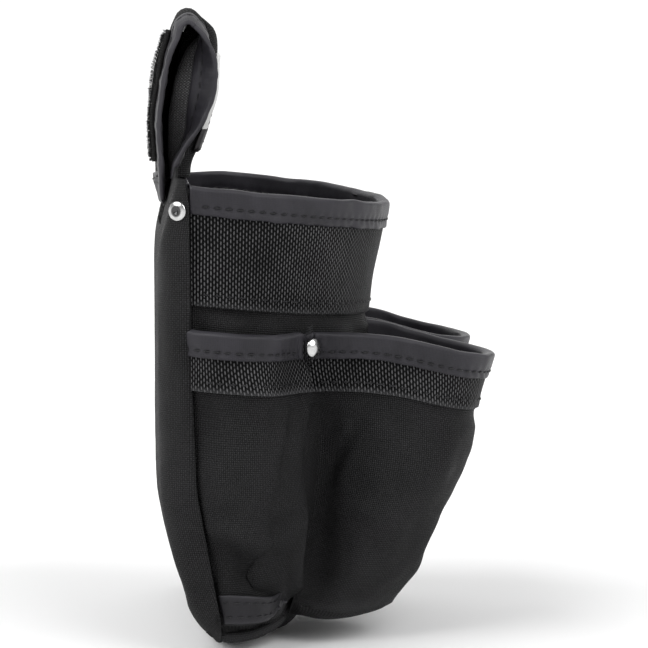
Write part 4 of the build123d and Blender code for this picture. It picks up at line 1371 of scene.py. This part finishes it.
def add_end_binding(tape, thread, face, normal):
    """The same tape across the tail's free end, over the last eight rows."""
    high, low = FLAP_STACK + 0.1, -GAP - 0.1
    keep = np.abs(face[-1, :, 0]) < 47
    base, nrm = (grid[:-9:-1][:, keep].transpose(1, 0, 2) for grid in (face, normal))
    run = lengths(base[:, 0])
    ruffle = ripple(np.stack([run, np.full(len(run), 70.0)], 1), 14.0, 140)[:, None, None]
    press = (0.55 + 0.45 * rise(np.arange(8) / 5.0))[None, :, None]
    press = press * edge_thinning(face.shape[1])[keep][:, None, None]
    outer = (base + nrm * ((high + TAPE + 0.25 * ruffle) * press))[:, ::-1]
    tip = base[:, 0] - base[:, 1]
    tip /= np.linalg.norm(tip, axis=1, keepdims=True)
    tape.add(run, wrapped(outer, base + nrm * (low - TAPE) * press, tip, 0.0, 1.9),
             wrapped((base + nrm * (high * press - 0.2))[:, ::-1], base + nrm * low * press, tip, 0.0, 1.0),
             lambda v: np.tile(0.7 * bump(v, v.max() / 2, 2.0), (len(run), 1)))
    thread.row(outer[2:-2, -6], nrm[2:-2, 5], *FLAP_THREAD)


def on_sheet(sheet, out, rows, half_width, offset, columns=60):
    """A grid that lies on the flap between two rows, at an offset from its inner face."""
    x = np.linspace(-half_width, half_width, columns)
    grid = np.zeros((columns, len(rows), 3))
    nrm = np.zeros_like(grid)
    for j, i in enumerate(rows):
        for k in range(3):
            grid[:, j, k] = np.interp(x, sheet[i, :, 0], sheet[i, :, k])
            nrm[:, j, k] = np.interp(x, sheet[i, :, 0], out[i, :, k])
    nrm /= np.linalg.norm(nrm, axis=2, keepdims=True)
    return grid + nrm * offset, nrm


def make_flap_trim(sheet, out, fold):
    """The pale patch, the strip on the tail's outside and the hook and loop tapes."""
    height = sheet[:, FLAP_COLUMNS - 1, 2]
    rows = [i for i in range(fold) if -24 <= height[i] <= 22]
    grid, _ = on_sheet(sheet, out, rows, PATCH_HALF_WIDTH, FLAP_STACK, 70)
    u, v = np.linspace(-1, 1, grid.shape[0])[:, None], np.linspace(-1, 1, grid.shape[1])[None]
    flatter = grid.mean(0, keepdims=True) + (grid - grid.mean(0, keepdims=True)) * [1, 0.35, 1]
    grid = np.where((grid[..., 1] < flatter[..., 1])[..., None], grid, flatter)
    edge = np.maximum(np.abs(u), np.abs(v))
    raised = 0.45 * (rise((edge - 0.88) / 0.03) - rise((edge - 0.95) / 0.03)) - 0.35 * rise((edge - 0.985) / 0.015)
    face = grid + np.array([0, -1, 0]) * (0.9 + raised)[..., None]
    made = slab("flap_patch_pale", face, None, PATCH, back=grid, uv=cloth_uv(grid), slot="patch",
                nodes=["flap_patch"])
    made.data.materials.append(PATCH_BAND)
    band_top = (height[rows[0]] + PATCH_BAND_HEIGHT) * MM
    for polygon in made.data.polygons:
        if polygon.center.z < band_top:
            polygon.material_index = 1
    thread = Thread()
    run, end = np.linspace(-0.8, 0.8, 40), np.full(40, 0.8)
    border = np.c_[np.r_[run, end, -run, -end], np.r_[-end, run, end, -run]]
    i, j = ((border + 1) / 2 * (np.array(grid.shape[:2]) - 1)).round().astype(int).T
    thread.row(face[i, j], np.repeat([[0, -1.0, 0]], len(border), 0), 3.6, 2.6, 0.28)
    thread.finish("patch_stitches")

    rows = [i for i in range(fold, len(sheet)) if -29 <= height[i] <= 31]
    grid, nrm = on_sheet(sheet, out, rows, STRIP_HALF_WIDTH, FLAP_STACK * 0.86)
    face = grid + nrm * (STRIP_PILE + 0.3 * ripple(grid, 9.0, 151))[..., None]
    slab("flap_tail_fuzzy_strip", face, None, FUZZ, back=grid, uv=cloth_uv(grid), body="flap_tail",
         slot="hook_and_loop", nodes=["flap_tail_strip"])
    fibres("flap_tail_strip_fibres", face, nrm, 5200, 1.5, "flap_tail")

    rows = [i for i in range(fold, len(sheet) - 1) if height[i] <= -28]
    grid, nrm = on_sheet(sheet, out, rows, HOOK_HALF_WIDTH, -GAP)
    face = grid - nrm * TAPE_BASE
    slab("flap_hook_tape_woven", face, None, HOOK_TAPE, back=grid, uv=cloth_uv(grid), body="flap_tail",
         slot="hook_and_loop", nodes=["flap_hook_tape"])
    hooks("flap_hook_tape_hooks", face, -nrm)

    x, z = np.meshgrid(np.linspace(-HOOK_HALF_WIDTH, HOOK_HALF_WIDTH, 40), np.linspace(-57.5, -38.5, 14),
                       indexing="ij")
    grid = np.stack([x, between(PAD_STATIONS, z)[0] + 0.25, z], 2)
    nrm = np.ones(grid.shape) * [0, 1.0, 0.2] / math.hypot(1.0, 0.2)
    face = grid + nrm * (TAPE_BASE + 0.1 * ripple(grid, 6.0, 161))[..., None]
    slab("back_loop_tape_soft", face, None, FUZZ, back=grid, uv=cloth_uv(grid), slot="hook_and_loop",
         nodes=["back_loop_tape"])
    fibres("back_loop_fibres", face, nrm, 1800, 1.0, "pouch")


def fibres(name, face, normals, count, reach, body):
    """Loops and broken fibres that stand off a fuzzy tape."""
    rng, thickness = np.random.default_rng(5), 0.085
    verts, faces, uvs = [], [], []
    nu, nv = face.shape[:2]
    steps = np.linspace(0, 1, 5)
    for _ in range(count):
        a, b = rng.uniform(0.3, nu - 1.3), rng.uniform(0.3, nv - 1.3)
        if rng.random() < 0.3:
            a = rng.choice([0.0, nu - 1.01])
        i, j = int(a), int(b)
        base, out = face[i, j] + (face[i + 1, j + 1] - face[i, j]) * [a - i, 1, b - j], normals[i, j]
        lean = rng.normal(0, 1, 3)
        tall = reach * rng.uniform(0.4, 1.0)
        curl = rng.uniform(0.3, 1.2)
        points = [base + out * tall * math.sin(t * 2.2) + lean * 0.28 * reach * t * curl for t in steps]
        start = len(verts)
        for k, p in enumerate(points):
            r = thickness * (1 - 0.5 * steps[k])
            for q in range(3):
                angle = 2 * math.pi * q / 3
                verts.append(p + np.array([math.cos(angle), math.sin(angle) * 0.4, math.sin(angle)]) * r)
                uvs.append((k, q))
        faces += quads(5, 3, start, close_v=True)
    return piece(name, verts, faces, uvs, FUZZ, body=body, slot="hook_and_loop")


def hooks(name, face, normals):
    """Rows of tiny moulded hooks."""
    verts, faces, uvs = [], [], []
    nu, nv = face.shape[:2]
    for i in np.linspace(1, nu - 2, 44):
        for j in np.linspace(0.4, nv - 1.5, 11):
            a, b = int(i), int(j)
            corner, out = face[a, b], normals[a, b]
            p = corner + (face[a + 1, b] - corner) * (i - a) + (face[a, b + 1] - corner) * (j - b)
            start = len(verts)
            for k, (high, aside) in enumerate(((0, 0), (0.4, 0.03), (0.72, 0.16), (0.78, 0.36), (0.6, 0.46))):
                for q in range(4):
                    angle = math.pi / 4 + q * math.pi / 2
                    verts.append(p + out * high + [aside + 0.13 * math.cos(angle), 0, 0.12 * math.sin(angle)])
                    uvs.append((k, q))
            faces += quads(5, 4, start, close_v=True)
            faces.append([start + 16 + q for q in range(4)])
    return piece(name, verts, faces, uvs, HOOK_TAPE, body="flap_tail", slot="hook_and_loop")


# ------------------------------------------------------------------ camera, floor and light
def make_stage():
    target = Vector((0, -0.0703, -0.1057))
    distance, turn, lift = 1.2, math.radians(4.3), math.radians(5.0)
    back = Vector((-math.cos(lift) * math.cos(turn), math.cos(lift) * math.sin(turn), math.sin(lift)))
    camera = bpy.data.cameras.new("camera")
    camera.sensor_width, camera.lens = 36.0, 141.3
    camera.clip_start, camera.clip_end = 0.05, 60
    eye = bpy.data.objects.new("camera", camera)
    eye.location = target + back * distance
    eye.rotation_euler = (-back).to_track_quat("-Z", "Y").to_euler()
    bpy.context.scene.collection.objects.link(eye)
    bpy.context.scene.camera = eye

    floor_z = BASE_Z * MM - 0.0014
    reach = 12.0
    mesh = bpy.data.meshes.new("floor")
    mesh.from_pydata([(x, y, floor_z) for x in (-reach, reach) for y in (-reach, reach)], [], quads(2, 2))
    pale = Nodes("pale_floor")
    tone = pale.ramp(pale.noise(3.0, 2.0), (0.3, (0.91, 0.91, 0.91)), (0.7, (0.93, 0.93, 0.93)))
    mesh.materials.append(pale.finish(tone, 0.65))
    floor = bpy.data.objects.new("floor", mesh)
    bpy.context.scene.collection.objects.link(floor)

    bpy.context.scene.view_settings.view_transform = "Standard"
    world = bpy.data.worlds.new("studio")
    world.use_nodes = True
    tree = world.node_tree
    parts = tree.nodes.new("ShaderNodeSeparateXYZ")
    tree.links.new(tree.nodes.new("ShaderNodeTexCoord").outputs["Generated"], parts.inputs[0])
    band = tree.nodes.new("ShaderNodeValToRGB")
    tree.links.new(parts.outputs[2], band.inputs[0])
    low, high = band.color_ramp.elements
    low.position, low.color = 0.10, (1.1, 1.1, 1.1, 1)
    high.position, high.color = 0.32, (0.34, 0.34, 0.34, 1)
    tree.links.new(band.outputs[0], tree.nodes["Background"].inputs[0])
    bpy.context.scene.world = world

    def soft_sun(name, toward, power, spread):
        lamp = bpy.data.lights.new(name, "SUN")
        lamp.energy, lamp.angle = power, math.radians(spread)
        made = bpy.data.objects.new(name, lamp)
        made.rotation_euler = (-Vector(toward)).to_track_quat("-Z", "Y").to_euler()
        bpy.context.scene.collection.objects.link(made)

    soft_sun("left_softbox", (-0.40, 0.90, 1.05), 2.2, 50)
    soft_sun("right_softbox", (-0.75, -0.9, 1.05), 1.7, 50)
    soft_sun("far_softbox", (0.9, 0.1, 0.7), 0.7, 70)


make_stage()
make_main_pocket()
make_main_binding()
make_lower("left")
make_lower("right")
make_back()
make_filling()
make_back_lining()
make_base()
make_rivets()
make_flap()

bpy.context.view_layer.update()
